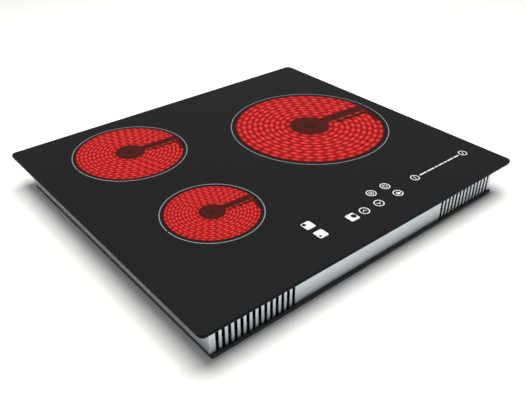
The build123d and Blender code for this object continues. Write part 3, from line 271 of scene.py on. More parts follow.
def powder_coat(name, dark, light):
    """Baked powder coat on sheet steel: dull, with a fine orange peel."""
    material, tree, shader, place = new_finish(name, IOR=1.5)
    # orange peel about 1.2 mm from bump to bump
    peel = add_node(
        tree, "ShaderNodeTexNoise", {"Vector": place, "Scale": per_mm(1.2), "Detail": 2.0}
    )
    mottle(tree, shader, peel.outputs[0], dark, light, (0.42, 0.58))
    relief(tree, shader, peel.outputs[0], 0.03 * MM, 0.6)
    return material


def plated_steel(name, dark, light, rough):
    """Bright plating on small steel pieces: cool metal, clouded by handling."""
    material, tree, shader, place = new_finish(name, Metallic=1.0)
    # clouds about 5 mm wide, broken up by 0.5 mm grain
    clouds = add_node(
        tree,
        "ShaderNodeTexNoise",
        {"Vector": place, "Scale": per_mm(5), "Detail": 6.0, "Roughness": 0.65},
    )
    mottle(tree, shader, clouds.outputs[0], dark, light, rough)
    relief(tree, shader, clouds.outputs[0], 0.01 * MM, 0.4)
    return material


def galvanised_steel():
    """Hot-dip galvanised sheet: zinc crystals, each turned its own way and its own grey."""
    material, tree, shader, place = new_finish("galvanised_steel", Metallic=1.0)
    # spangle about 7 mm across
    spangle = add_node(
        tree, "ShaderNodeTexVoronoi", {"Vector": place, "Scale": per_mm(7), "Randomness": 1.0}
    )
    grey = add_node(tree, "ShaderNodeRGBToBW", {"Color": spangle.outputs["Color"]})
    mottle(tree, shader, grey.outputs[0], "#8f969a", "#c3c9cc", (0.35, 0.60))
    return material


def rubbery(name, dark, light, cell):
    """Soft rubber or foam skin with open cells this many millimetres wide."""
    material, tree, shader, place = new_finish(name, IOR=1.43)
    cells = add_node(tree, "ShaderNodeTexVoronoi", {"Vector": place, "Scale": per_mm(cell)})
    mottle(tree, shader, cells.outputs["Distance"], dark, light, (0.70, 0.90))
    relief(tree, shader, cells.outputs["Distance"], 0.2 * cell * MM, 0.7)
    return material


def pressed_insulation():
    """Pressed vermiculite board: warm buff, with glints of mica flake."""
    material, tree, shader, place = new_finish("pressed_insulation", IOR=1.5)
    # flakes about 2.5 mm wide in a finer 0.6 mm powder
    flakes = add_node(tree, "ShaderNodeTexVoronoi", {"Vector": place, "Scale": per_mm(2.5)})
    powder = add_node(
        tree, "ShaderNodeTexNoise", {"Vector": place, "Scale": per_mm(0.6), "Detail": 4.0}
    )
    mixed = add_node(
        tree,
        "ShaderNodeMath",
        {0: flakes.outputs["Distance"], 1: powder.outputs[0]},
        operation="MULTIPLY_ADD",
    )
    mixed.inputs[2].default_value = 0.1
    mottle(tree, shader, mixed.outputs[0], "#a8967a", "#e0d5bd", (0.75, 0.95))
    relief(tree, shader, mixed.outputs[0], 0.25 * MM, 0.8)
    return material


def moulded_plastic(name, dark, light, rough, grain):
    """Injection-moulded plastic: an even colour with a spark-eroded grain of this many mm."""
    material, tree, shader, place = new_finish(name, IOR=1.49)
    erosion = add_node(
        tree,
        "ShaderNodeTexNoise",
        {"Vector": place, "Scale": per_mm(grain), "Detail": 3.0, "Roughness": 0.6},
    )
    mottle(tree, shader, erosion.outputs[0], dark, light, rough)
    relief(tree, shader, erosion.outputs[0], 0.08 * grain * MM, 0.6)
    return material


def glazed_steatite():
    """Fired steatite: off-white, dense and faintly glossy, with a few iron specks."""
    material, tree, shader, place = new_finish("glazed_steatite", IOR=1.56)
    # specks are rare and about 0.5 mm wide
    specks = add_node(
        tree, "ShaderNodeTexNoise", {"Vector": place, "Scale": per_mm(1.1), "Detail": 5.0}
    )
    rare = add_node(
        tree,
        "ShaderNodeMapRange",
        {"Value": specks.outputs[0], "From Min": 0.30, "From Max": 0.42},
    )
    mottle(tree, shader, rare.outputs[0], "#a89a86", "#e9e4d8", (0.30, 0.38))
    return material


def solder_resist_board():
    """Glass-fibre board under green solder resist: copper tracks show as paler lines."""
    material, tree, shader, place = new_finish("solder_resist_board", IOR=1.5)
    # tracks about 1 mm wide on a 5 mm raster
    tracks = add_node(
        tree,
        "ShaderNodeTexBrick",
        {
            "Vector": place,
            "Color1": srgb("#14502f"),
            "Color2": srgb("#185a36"),
            "Mortar": srgb("#2d7a4c"),
            "Scale": per_mm(10),
            "Mortar Size": 0.05,
            "Brick Width": 1.3,
            "Row Height": 0.5,
        },
    )
    tree.links.new(tracks.outputs["Color"], shader.inputs["Base Color"])
    relief(tree, shader, tracks.outputs["Fac"], 0.03 * MM, 0.8)
    shader.inputs["Roughness"].default_value = 0.35
    return material


def laminated_iron():
    """Stacked transformer laminations: dark edges of 0.5 mm sheet under varnish."""
    material, tree, shader, place = new_finish("laminated_iron", Metallic=0.7)
    # sheets of 0.5 mm are drawn 5 mm thick so that the stack reads; a wave has 3.2 to a cell
    sheets = add_node(
        tree,
        "ShaderNodeTexWave",
        {"Vector": place, "Scale": per_mm(16), "Distortion": 0.4, "Detail": 1.0},
        bands_direction="X",
    )
    mottle(tree, shader, sheets.outputs[1], "#3a3531", "#6d655c", (0.40, 0.60))
    relief(tree, shader, sheets.outputs[1], 0.05 * MM, 0.7)
    return material


def braided_sleeve():
    """Silicone-coated glass braid on the wires beside the heaters: cross-hatched, matt."""
    material, tree, shader, place = new_finish("braided_sleeve", IOR=1.43)
    # plaits of 1 mm are drawn a few millimetres wide, so that the hatching shows
    plaits = add_node(
        tree,
        "ShaderNodeTexMagic",
        {"Vector": place, "Scale": per_mm(6), "Distortion": 2.0},
        turbulence_depth=2,
    )
    mottle(tree, shader, plaits.outputs[1], "#b9b3a6", "#efece4", (0.60, 0.75))
    return material


def glowing(shader, tree, colour, strength):
    """Light a shader with its own colour."""
    tree.links.new(colour, shader.inputs["Emission Color"])
    shader.inputs["Emission Strength"].default_value = strength


def behind_glass(name):
    """Start of a glow that shows in the black top: next to nothing but its own light."""
    return new_finish(
        name, **{"Base Color": srgb("#0a0a0a"), "Roughness": 0.4, "Specular IOR Level": 0.02}
    )


def reach_from(tree, place, centre):
    """Level distance of each point from the middle of its zone."""
    local = add_node(tree, "ShaderNodeVectorMath", {0: place, 1: centre}, operation="SUBTRACT")
    flat = add_node(
        tree, "ShaderNodeVectorMath", {0: local.outputs[0], 1: (1, 1, 0)}, operation="MULTIPLY"
    )
    reach = add_node(tree, "ShaderNodeVectorMath", {0: flat.outputs[0]}, operation="LENGTH")
    return reach.outputs["Value"]


def painted_band_light_field(name, centre, radius, dull, lit):
    """Insulation lit by the bands beside it, drawn as painted light: a deep red glow that dies out at
    the rim.
    """
    material, tree, shader, place = behind_glass(name)
    # painted glow full up to the last band, then unlit glass just past it
    rim = add_node(
        tree,
        "ShaderNodeMapRange",
        {
            "Value": reach_from(tree, place, centre),
            "From Min": radius * PAINTED_GLOW_FULL,
            "From Max": radius * GLOW_BLEED,
        },
        interpolation_type="SMOOTHSTEP",
    )
    # the painted glow of the insulation under the bands is uneven, in patches about 14 mm wide
    patches = add_node(
        tree, "ShaderNodeTexNoise", {"Vector": place, "Scale": per_mm(14), "Detail": 2.0}
    )
    glow = add_node(
        tree,
        "ShaderNodeMix",
        {0: patches.outputs[0], 6: srgb(dull), 7: srgb(lit)},
        data_type="RGBA",
    )
    faded = add_node(
        tree,
        "ShaderNodeMix",
        {0: rim.outputs[0], 6: glow.outputs[2], 7: (0.0, 0.0, 0.0, 1.0)},
        data_type="RGBA",
    )
    glowing(shader, tree, faded.outputs[2], 1.0)
    return material


def cool_hub_field(name, centre, radius):
    """Uncovered insulation in the middle and under the limiter: a painted glow, dim brown, for the
    light of the bands on it.
    """
    material, tree, shader, place = behind_glass(name)
    # painted glow: brown in the eye, brightest half way out, brown again beside the first band and in
    # the bar
    share = add_node(
        tree,
        "ShaderNodeMath",
        {0: reach_from(tree, place, centre), 1: radius * HUB_PAINTED_GLOW_REACH},
        operation="DIVIDE",
    )
    painted_hub_glow = add_node(tree, "ShaderNodeValToRGB", {0: share.outputs[0]})
    ramp = painted_hub_glow.color_ramp.elements
    ramp[0].color, ramp[1].color = srgb("#431b13"), srgb("#531c17")
    ramp.new(0.16).color = srgb("#481c15")
    ramp.new(0.34).color = srgb("#5a1f1a")
    ramp.new(0.50).color = srgb("#561d18")
    # ash on the insulation lies in drifts about 20 mm wide and dims the painted glow
    ash = add_node(
        tree, "ShaderNodeTexNoise", {"Vector": place, "Scale": per_mm(20), "Detail": 3.0}
    )
    ash_cover = add_node(
        tree,
        "ShaderNodeMix",
        {0: ash.outputs[0], 6: srgb("#d8d8d8"), 7: (1.0, 1.0, 1.0, 1.0)},
        data_type="RGBA",
    )
    ash_dimmed_glow = add_node(
        tree,
        "ShaderNodeVectorMath",
        {0: painted_hub_glow.outputs[0], 1: ash_cover.outputs[2]},
        operation="MULTIPLY",
    )
    glowing(shader, tree, ash_dimmed_glow.outputs[0], 1.0)
    return material


def heating_band_glow(name, tones, centre, radius):
    """Corrugated heating band through dark glass: beads of light strung along the band."""
    material, tree, shader, place = behind_glass(name)
    strip = add_node(tree, "ShaderNodeUVMap", uv_map="along_band")
    parts = add_node(tree, "ShaderNodeSeparateXYZ", {"Vector": strip.outputs["UV"]})
    # the corrugation isn't quite even, so beads drift along the band over some 26 mm
    drift = add_node(
        tree, "ShaderNodeTexNoise", {"Vector": place, "Scale": per_mm(26), "Detail": 1.0}
    )
    course = add_node(
        tree,
        "ShaderNodeMath",
        {0: drift.outputs[0], 1: 0.2, 2: parts.outputs["X"]},
        operation="MULTIPLY_ADD",
    )
    # one bead per unit of U, its middle at 0.5; V runs from 0 to 1 across the band
    beat = add_node(tree, "ShaderNodeMath", {0: course.outputs[0]}, operation="FRACT")
    spot = add_node(tree, "ShaderNodeCombineXYZ", {"X": beat.outputs[0], "Y": parts.outputs["Y"]})
    off_middle = add_node(
        tree, "ShaderNodeVectorMath", {0: spot.outputs[0], 1: (0.5, 0.5, 0)}, operation="SUBTRACT"
    )
    oval = add_node(
        tree,
        "ShaderNodeVectorMath",
        {0: off_middle.outputs[0], 1: (1.3, 1.42, 0)},
        operation="MULTIPLY",
    )
    off_bead = add_node(tree, "ShaderNodeVectorMath", {0: oval.outputs[0]}, operation="LENGTH")
    # tones run from a bead's middle to the corner between four beads
    glow = add_node(tree, "ShaderNodeValToRGB", {0: off_bead.outputs["Value"]})
    glow.color_ramp.interpolation = "EASE"
    ramp = glow.color_ramp.elements
    ramp[0].color, ramp[1].color = srgb(tones[0]), srgb(tones[-1])
    for stop, tone in zip(TONE_STOPS, tones[1:-1]):
        ramp.new(stop).color = srgb(tone)
    # the turns beside the hub and the rim lie against cool insulation and glow less
    share = add_node(
        tree,
        "ShaderNodeMath",
        {0: reach_from(tree, place, centre), 1: radius},
        operation="DIVIDE",
    )
    heat = add_node(tree, "ShaderNodeValToRGB", {0: share.outputs[0]})
    ends = heat.color_ramp.elements
    ends[0].position, ends[1].position = COOL_ENDS
    ends[0].color = ends[1].color = srgb(COOL_END_TONE)
    for stop in HOT_SPAN:
        ends.new(stop).color = (1.0, 1.0, 1.0, 1.0)
    lit = add_node(
        tree, "ShaderNodeVectorMath", {0: glow.outputs[0], 1: heat.outputs[0]}, operation="MULTIPLY"
    )
    glowing(shader, tree, lit.outputs[0], 1.0)
    return material


def glowing_alloy():
    """Iron-chromium-aluminium ribbon at red heat, scaled grey where it is cooler."""
    material, tree, shader, place = new_finish("glowing_alloy", Metallic=0.6, Roughness=0.55)
    # hot and less hot stretches about 12 mm long
    heat = add_node(
        tree, "ShaderNodeTexNoise", {"Vector": place, "Scale": per_mm(12), "Detail": 2.0}
    )
    colour = add_node(
        tree,
        "ShaderNodeMix",
        {0: heat.outputs[0], 6: srgb("#b3180f"), 7: srgb("#ff5a36")},
        data_type="RGBA",
    )
    shader.inputs["Base Color"].default_value = srgb("#4a4340")
    glowing(shader, tree, colour.outputs[2], 1.6)
    return material


def lit_lamp_lens():
    """Clear red lens of a small lamp, lit from behind."""
    material, tree, shader, place = new_finish(
        "lit_lamp_lens", **{"Roughness": 0.15, "IOR": 1.5, "Base Color": srgb("#a81414")}
    )
    core = add_node(
        tree, "ShaderNodeTexNoise", {"Vector": place, "Scale": per_mm(2), "Detail": 1.0}
    )
    colour = add_node(
        tree,
        "ShaderNodeMix",
        {0: core.outputs[0], 6: srgb("#7d0f0d"), 7: srgb("#e0332b")},
        data_type="RGBA",
    )
    glowing(shader, tree, colour.outputs[2], 0.6)
    return material


def plain_floor():
    """Pale matt backdrop paper, with a very faint tooth."""
    material, tree, shader, place = new_finish(
        "backdrop_paper", **{"Specular IOR Level": 0.0, "Roughness": 1.0}
    )
    tooth = add_node(
        tree, "ShaderNodeTexNoise", {"Vector": place, "Scale": per_mm(3), "Detail": 2.0}
    )
    mottle(tree, shader, tooth.outputs[0], "#f8f6f3", "#fbf9f6")
    return material


FINISHES = {
    "grey_enamel": fired_enamel("grey_fired_enamel", "#7d7d7d", "#979797"),
    "white_enamel": fired_enamel("white_fired_enamel", "#dadada", "#e6e6e6"),
    "casing": brushed_aluminised_steel(),
    "base": powder_coat("black_powder_coat", "#202324", "#2b2e2f"),
    "screws": plated_steel("zinc_plated_screws", "#a8acae", "#d9dcdc", (0.25, 0.40)),
    "silicone": rubbery("black_silicone_bead", "#141414", "#1e1e1e", 2.5),
    "seal": rubbery("black_foam_seal", "#161617", "#242426", 0.7),
    "galvanised": galvanised_steel(),
    "pan": plated_steel("aluminised_pan_steel", "#9aa0a3", "#c9cdcf", (0.35, 0.55)),
    "insulation": pressed_insulation(),
    "alloy": glowing_alloy(),
    "sensor": plated_steel("heat_tinted_sensor_steel", "#7c6a55", "#b59a76", (0.25, 0.45)),
    "steatite": glazed_steatite(),
    "tab": plated_steel("nickelled_brass_tabs", "#a99766", "#d8c891", (0.25, 0.40)),
    "spring": plated_steel("blued_spring_steel", "#39424f", "#6b7786", (0.25, 0.40)),
    "carrier": moulded_plastic("glass_filled_polyamide", "#2a2b2d", "#36383a", (0.45, 0.6), 1.4),
    "board": solder_resist_board(),
    "pads": rubbery("carbon_foam_pads", "#17171a", "#26262a", 0.6),
    "lens": lit_lamp_lens(),
    "chip": moulded_plastic("moulded_epoxy_chips", "#17181a", "#222325", (0.5, 0.6), 0.5),
    "standoff": moulded_plastic("natural_nylon_posts", "#d6d1c2", "#e8e4d8", (0.4, 0.5), 1.5),
    "terminal": moulded_plastic("green_polyamide_poles", "#2e6b45", "#3a7d53", (0.4, 0.5), 1.0),
    "relay": moulded_plastic("blue_polyester_relays", "#1d3f78", "#27508f", (0.3, 0.4), 0.9),
    "transformer": laminated_iron(),
    "capacitor": moulded_plastic("shrunk_capacitor_sleeve", "#1b2a44", "#24375a", (0.2, 0.3), 2.0),
    "mains_block": moulded_plastic("cream_mains_block", "#cfc8b2", "#ddd7c4", (0.4, 0.55), 1.0),
    "gland": moulded_plastic("grey_polyamide_gland", "#6f7375", "#83878a", (0.4, 0.5), 1.0),
    "fan": moulded_plastic("black_polyester_fan", "#1b1c1e", "#27282b", (0.4, 0.5), 1.1),
    "rotor": moulded_plastic("grey_polyester_rotor", "#3c3f43", "#4a4e53", (0.35, 0.45), 1.1),
    "braid": braided_sleeve(),
    "brown_wire": moulded_plastic("brown_wire_skin", "#4f2f1d", "#63402a", (0.35, 0.45), 1.0),
    "grey_cable": moulded_plastic("grey_cable_skin", "#77797b", "#8a8c8e", (0.35, 0.45), 1.0),
}
GLASS = rolled_black_glass_ceramic()

# CAD node, or the end of its name: the finish it wears
DRESS = {
    "zone_ring_print": "grey_enamel",
    "control_print": "white_enamel",
    "side_casing": "casing",
    "base_plate": "base",
    "base_screws": "screws",
    "glass_bond_bead": "silicone",
    "worktop_seal": "seal",
    "rails": "galvanised",
    "pan": "pan",
    "insulation_bed": "insulation",
    "insulation_rim": "insulation",
    "ribbon": "alloy",
    "sensor_tube": "sensor",
    "connector": "steatite",
    "tabs": "tab",
    "springs": "spring",
    "control_carrier": "carrier",
    "touch_board": "board",
    "power_board": "board",
    "touch_pads": "pads",
    "lamp_leds": "lens",
    "touch_board_chips": "chip",
    "board_standoffs": "standoff",
    "board_screws": "screws",
    "board_terminals": "terminal",
    "power_relays": "relay",
    "supply_transformer": "transformer",
    "supply_capacitors": "capacitor",
    "mains_terminal_block": "mains_block",
    "mains_terminal_screws": "screws",
    "cable_gland": "gland",
    "gland_locknut": "gland",
    "fan_housing": "fan",
    "fan_cover": "fan",
    "fan_rotor": "rotor",
    "fan_screws": "screws",
    "heater_wires": "braid",
    "mains_wires": "brown_wire",
    "control_cable": "grey_cable",
    "fan_cable": "grey_cable",
    "wire_saddles": "standoff",
}


def dress(piece, finish):
    """Give a piece one finish all over."""
    piece.data.materials.clear()
    piece.data.materials.append(finish)


for node_name, node in nodes.items():
    ends = [end for end in DRESS if node_name == end or node_name.endswith("_" + end)]
    if ends:
        dress(node, FINISHES[DRESS[max(ends, key=len)]])


# =========================================================================================
# Modelling helpers
# =========================================================================================
def start(primitive, name, stretch=(1, 1, 1), **place):
    """Add a primitive with nothing else selected, name it, and put its place in its mesh."""
    bpy.ops.object.select_all(action="DESELECT")
    primitive(**place)
    piece = bpy.context.object
    piece.name = piece.data.name = name
    piece.scale = stretch
    bpy.ops.object.transform_apply(location=True, rotation=True, scale=True)
    return piece


def pick(piece, kind, wanted):
    """In edit mode, select just the vertices, edges or faces that wanted() accepts."""
    bpy.ops.mesh.select_mode(type=kind)
    bpy.ops.mesh.select_all(action="DESELECT")
    mesh = bmesh.from_edit_mesh(piece.data)
    for element in {"VERT": mesh.verts, "EDGE": mesh.edges, "FACE": mesh.faces}[kind]:
        element.select_set(bool(wanted(element)))
    mesh.select_flush_mode()
    bmesh.update_edit_mesh(piece.data)


def level(edge, height):
    """True if both ends of an edge lie at this height."""
    return all(abs(vertex.co.z - height) < SAME_PLACE for vertex in edge.verts)


def settle(piece, finish, body, slot, *stands_for):
    """Dress a finished piece, let it ride on its body, and say what it stands for."""
    dress(piece, finish)
    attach(piece, body)
    if stands_for:
        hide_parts(*stands_for)


# =========================================================================================
# Glass plate
# =========================================================================================
def polished_glass_plate():
    """Rounded plate with a polished upper arris and a ground lower one."""
    low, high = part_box("glass_ceramic_plate")
    high.z = GLASS_TOP
    plate = start(
        bpy.ops.mesh.primitive_cube_add,
        "glass_ceramic_top",
        size=1,
        location=(low + high) / 2,
        stretch=high - low,
    )
    bpy.ops.object.mode_set(mode="EDIT")
    pick(plate, "EDGE", lambda edge: abs(edge.verts[0].co.z - edge.verts[1].co.z) > MM)
    bpy.ops.mesh.bevel(offset=GLASS_CORNER, segments=12)
    pick(plate, "EDGE", lambda edge: level(edge, high.z) and edge.is_manifold
         and any(abs(face.normal.z) < 0.5 for face in edge.link_faces))
    bpy.ops.mesh.bevel(offset=GLASS_POLISHED_EDGE, segments=5)
    pick(plate, "EDGE", lambda edge: level(edge, low.z)
         and any(abs(face.normal.z) < 0.5 for face in edge.link_faces))
    bpy.ops.mesh.bevel(offset=GLASS_GROUND_EDGE, segments=2)
    # a narrow band round the face keeps its smooth shading flat as far as the arris
    pick(plate, "FACE", lambda face: face.normal.z > 0.99 and face.calc_area() > 0.01)
    bpy.ops.mesh.inset(thickness=GLASS_EDGE_BAND)
    bpy.ops.object.mode_set(mode="OBJECT")
    bpy.ops.object.shade_smooth_by_angle(angle=math.radians(35))
    settle(plate, GLASS, "root", "glass_ceramic", "glass_ceramic_plate")


polished_glass_plate()


# =========================================================================================
# Glow of each zone, as it shows in the top of the glass
# =========================================================================================
def meander(radius, hub_share):
    """The heating band's course round a zone's middle: arcs of (centre, radius, start, turn)."""
    hub = hub_share * radius
    pitch = (radius - hub) / RINGS
    rings = [radius - (ring + 0.5) * pitch for ring in range(RINGS)]
    tip = pitch * TIP_ROOM
    upper = [math.asin((UPPER_TIP * radius + tip) / (ring - pitch / 2)) for ring in rings]
    spread = LOWER_TIP_RIM - LOWER_TIP_HUB
    lower = [
        math.asin(min(1, (LOWER_TIP_HUB * radius + spread * ring + tip) / (ring - pitch / 2)))
        for ring in rings
    ]
    lead_y, bend = LEAD_SHARE * radius, LEAD_BEND * radius
    inner_turn = math.asin((lead_y + bend) / (rings[-1] + bend))
    course = []
    for ring, reach in enumerate(rings):
        outward = ring % 2
        top = upper[ring - 1] if outward else upper[ring]
        if ring == 0:
            bottom = -OUTER_END
        elif ring == RINGS - 1:
            bottom = inner_turn
        else:
            bottom = lower[ring] if outward else lower[ring - 1]
        # even rings are walked backwards, from below the bar round to above it
        first, last = 2 * math.pi - bottom, top
        if outward:
            first, last = last, first
        course.append(((0.0, 0.0), reach, first, last - first))
        if ring < RINGS - 1:
            middle = reach - pitch / 2
            angle = 2 * math.pi - lower[ring] if outward else upper[ring]
            place = (middle * math.cos(angle), middle * math.sin(angle))
            # hairpins go round by the open side, above or below the bar
            course.append((place, pitch / 2, angle, math.pi if outward else -math.pi))
    # the innermost ring bends outward into the lead
    centre = ((rings[-1] + bend) * math.cos(inner_turn), -(lead_y + bend))
    course.append((centre, bend, math.pi - inner_turn, inner_turn - math.pi / 2))
    return course, pitch


def place_in_zone(piece, centre):
    """Turn a piece drawn round the origin in line with the bar, and move it to its zone."""
    bpy.ops.object.select_all(action="DESELECT")
    piece.select_set(True)
    bpy.context.view_layer.objects.active = piece
    piece.location = (centre.x, centre.y, 0)
    piece.rotation_euler.z = BRIDGE_TURN
    bpy.ops.object.transform_apply(location=True, rotation=True, scale=True)


def thicken(piece, depth):
    """Give a flat piece a wall below its face, so that it is closed all round."""
    wall = piece.modifiers.new("wall", "SOLIDIFY")
    wall.thickness = depth
    wall.offset = -1
    bpy.ops.object.modifier_apply(modifier=wall.name)


def beat_along(course, pitch):
    """Beads counted from each ring's far side: their number at both ends of every arc."""
    spacing = BEAD_SPACING * pitch
    counts = []
    for centre, reach, first, turn in course:
        sign = 1 if turn > 0 else -1
        ends = [sign * reach * (angle - math.pi) / spacing for angle in (first, first + turn)]
        counts.append(ends if centre == (0.0, 0.0) else None)
    for index, (centre, reach, first, turn) in enumerate(course):
        if counts[index] is None:
            begin = counts[index - 1][1]
            length = reach * abs(turn) / spacing
            if index + 1 < len(course):
                # close up to the next ring's count, which may differ by whole beads
                target = counts[index + 1][0]
                length += (target - begin - length + 0.5) % 1 - 0.5
            counts[index] = [begin, begin + length]
    return counts


def on_arc(course, width, point):
    """Which arc of the course a point of the band lies on."""
    misses = []
    for middle, reach, first, turn in course:
        x, y = point[0] - middle[0], point[1] - middle[1]
        share = share_of_arc(x, y, first, turn)
        # beyond an arc's end counts far more than beside it
        misses.append(abs(math.hypot(x, y) - reach) / width + max(0.0, -share, share - 1) * 50)
    return misses.index(min(misses))


def share_of_arc(x, y, first, turn):
    """How far along an arc a direction from its middle lies, from 0 to 1."""
    swept = (math.atan2(y, x) - first) * (1 if turn > 0 else -1) % (2 * math.pi)
    share = swept / abs(turn)
    return share if share < 0.5 + math.pi / abs(turn) else share - 2 * math.pi / abs(turn)


def band_strip(zone, centre, radius, hub_share):
    """The glowing band: a short edge spun along every arc of the meander."""
    course, pitch = meander(radius, hub_share)
    width = BAND_SHARE * pitch
    counts = beat_along(course, pitch)
    _, reach, first, turn = course[0]
    # the plane's leading edge lies across the first arc's start
    back = width / 2 * (1 if turn > 0 else -1)
    strip = start(
        bpy.ops.mesh.primitive_plane_add,
        f"band_glow_{zone}",
        size=width,
        location=(
            reach * math.cos(first) + back * math.sin(first),
            reach * math.sin(first) - back * math.cos(first),
            GLOW_BAND,
        ),
        rotation=(0, 0, first),
    )
    bpy.ops.object.mode_set(mode="EDIT")
    # only that edge is kept, and it is spun
    head = (reach * math.cos(first), reach * math.sin(first))
    pick(strip, "VERT", lambda vertex: math.dist(vertex.co.xy, head) > 0.8 * width)
    bpy.ops.mesh.delete(type="VERT")
    bpy.ops.mesh.select_all(action="SELECT")
    for middle, reach, first, turn in course:
        bpy.ops.mesh.spin(
            steps=max(4, math.ceil(abs(turn) * reach / BAND_STEP)),
            angle=-turn,
            center=(*middle, GLOW_BAND),
            axis=(0, 0, 1),
        )
    bpy.ops.mesh.select_all(action="SELECT")
    bpy.ops.mesh.remove_doubles(threshold=SAME_PLACE)
    if strip.data.polygons[0].normal.z < 0:
        bpy.ops.mesh.flip_normals()
    bpy.ops.object.mode_set(mode="OBJECT")
    uv = strip.data.uv_layers.new(name="along_band")
    for face in strip.data.polygons:
        index = on_arc(course, width, face.center)
        middle, reach, first, turn = course[index]
        begin, end = counts[index]
        for loop in face.loop_indices:
            corner = strip.data.vertices[strip.data.loops[loop].vertex_index].co
            x, y = corner.x - middle[0], corner.y - middle[1]
            share = share_of_arc(x, y, first, turn)
            across = (math.hypot(x, y) - reach) / width + 0.5
            uv.data[loop].uv = (begin + share * (end - begin), across)
    thicken(strip, GLOW_SKIN)
    place_in_zone(strip, centre)
    finish = heating_band_glow(f"heating_band_{zone}", BAND_TONES, centre, radius)
    settle(strip, finish, "root", "heating_alloy")


def bow_springs(zone):
    """Four bow springs of a heater, with their feet flat on the rails."""
    low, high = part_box(f"heater_{zone}_springs")
    seat = low.z + SPRING_SHEET / 2
    rise = high.z - low.z - SPRING_SHEET
    half = SPRING_SPAN / 2
    reach = half - SPRING_FOOT
    bow = (reach**2 + rise**2) / (2 * rise)
    springs = start(
        bpy.ops.mesh.primitive_plane_add,
        f"bow_springs_{zone}",
        size=1,
        location=(low.x + SPRING_WIDTH / 2, low.y + SPRING_FOOT / 2, seat),
        stretch=(SPRING_WIDTH, SPRING_FOOT, 1),
    )
    bpy.ops.object.mode_set(mode="EDIT")
    # the first foot's inner edge is swept up and over to where the second foot begins
    pick(springs, "EDGE", lambda edge: all(
        abs(vertex.co.y - low.y - SPRING_FOOT) < SAME_PLACE for vertex in edge.verts))
    bpy.ops.mesh.spin(
        steps=SPRING_STEPS,
        angle=2 * math.asin(reach / bow),
        center=(low.x, low.y + half, seat + rise - bow),
        axis=(1, 0, 0),
    )
    bpy.ops.mesh.extrude_region_move(TRANSFORM_OT_translate={"value": (0, SPRING_FOOT, 0)})
    # the same bow at the other end of the rail, and both again on the other rail
    for stride in (
        (0, high.y - low.y - SPRING_SPAN, 0),
        (high.x - low.x - SPRING_WIDTH, 0, 0),
    ):
        bpy.ops.mesh.select_all(action="SELECT")
        bpy.ops.mesh.duplicate_move(TRANSFORM_OT_translate={"value": stride})
    bpy.ops.mesh.select_all(action="SELECT")
    bpy.ops.mesh.normals_make_consistent(inside=False)
    bpy.ops.object.mode_set(mode="OBJECT")
    wall = springs.modifiers.new("wall", "SOLIDIFY")
    wall.thickness = SPRING_SHEET
    wall.offset = 0
    bpy.ops.object.modifier_apply(modifier=wall.name)
    bpy.ops.object.shade_smooth_by_angle(angle=math.radians(30))
    settle(springs, FINISHES["spring"], "root", "spring_steel", f"heater_{zone}_springs")
    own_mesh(springs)


def cold_end(zone, centre, radius, hub_share):
    """Bare insulation between the end of the outermost ring and the bar: a painted glow in dark maroon,
    the light of the band beside it.
    """
    _, pitch = meander(radius, hub_share)
    inner = radius - COLD_END_DEPTH * pitch
    outer = radius * COLD_END_RIM
    size = outer - inner
    strip = start(
        bpy.ops.mesh.primitive_plane_add,
        f"cold_end_{zone}",
        size=size,
        location=((inner + outer) / 2, size / 2, GLOW_END),
    )
    bpy.ops.object.mode_set(mode="EDIT")
    pick(strip, "VERT", lambda vertex: vertex.co.y > size / 2)
    bpy.ops.mesh.delete(type="VERT")
    bpy.ops.mesh.select_all(action="SELECT")
    bpy.ops.transform.rotate(
        value=math.asin(BAR_UPPER), orient_axis="Z", center_override=(0, 0, GLOW_END)
    )
    bpy.ops.mesh.spin(
        steps=16,
        angle=math.asin(BAR_UPPER) - OUTER_END,
        center=(0, 0, GLOW_END),
        axis=(0, 0, 1),
    )
    bpy.ops.mesh.select_all(action="SELECT")
    if strip.data.polygons[0].normal.z < 0:
        bpy.ops.mesh.flip_normals()
    bpy.ops.object.mode_set(mode="OBJECT")
    thicken(strip, GLOW_SKIN)
    place_in_zone(strip, centre)
    # painted glow: the band's light on the bare insulation, in dark maroon
    finish = painted_band_light_field(f"cold_end_{zone}", centre, radius, "#471311", "#611413")
    settle(strip, finish, "root", "insulation")


def lead_strip(zone, centre, radius, hub_share):
    """The band's last straight run beside the bar, half hidden and dim."""
    course, pitch = meander(radius, hub_share)
    spacing = BEAD_SPACING * pitch
    width = LEAD_WIDTH * pitch
    begin = course[-1][0][0]
    end = radius * math.cos(math.asin(LEAD_SHARE)) - width
    lead = start(
        bpy.ops.mesh.primitive_plane_add,
        f"lead_glow_{zone}",
        size=1,
        location=((begin + end) / 2, -LEAD_SHARE * radius, GLOW_BAND),
        stretch=(end - begin, width, 1),
    )
    bpy.ops.object.mode_set(mode="EDIT")
    bpy.ops.mesh.select_all(action="SELECT")
    bpy.ops.mesh.subdivide(number_cuts=3)
    bpy.ops.object.mode_set(mode="OBJECT")
    uv = lead.data.uv_layers[0]
    uv.name = "along_band"
    for loop in lead.data.loops:
        corner = lead.data.vertices[loop.vertex_index].co
        across = (corner.y + LEAD_SHARE * radius) / width + 0.5
        uv.data[loop.index].uv = ((corner.x - begin) / spacing, across)
    thicken(lead, GLOW_SKIN)
    place_in_zone(lead, centre)
    finish = heating_band_glow(f"heating_lead_{zone}", LEAD_TONES, centre, radius)
    settle(lead, finish, "root", "heating_alloy")


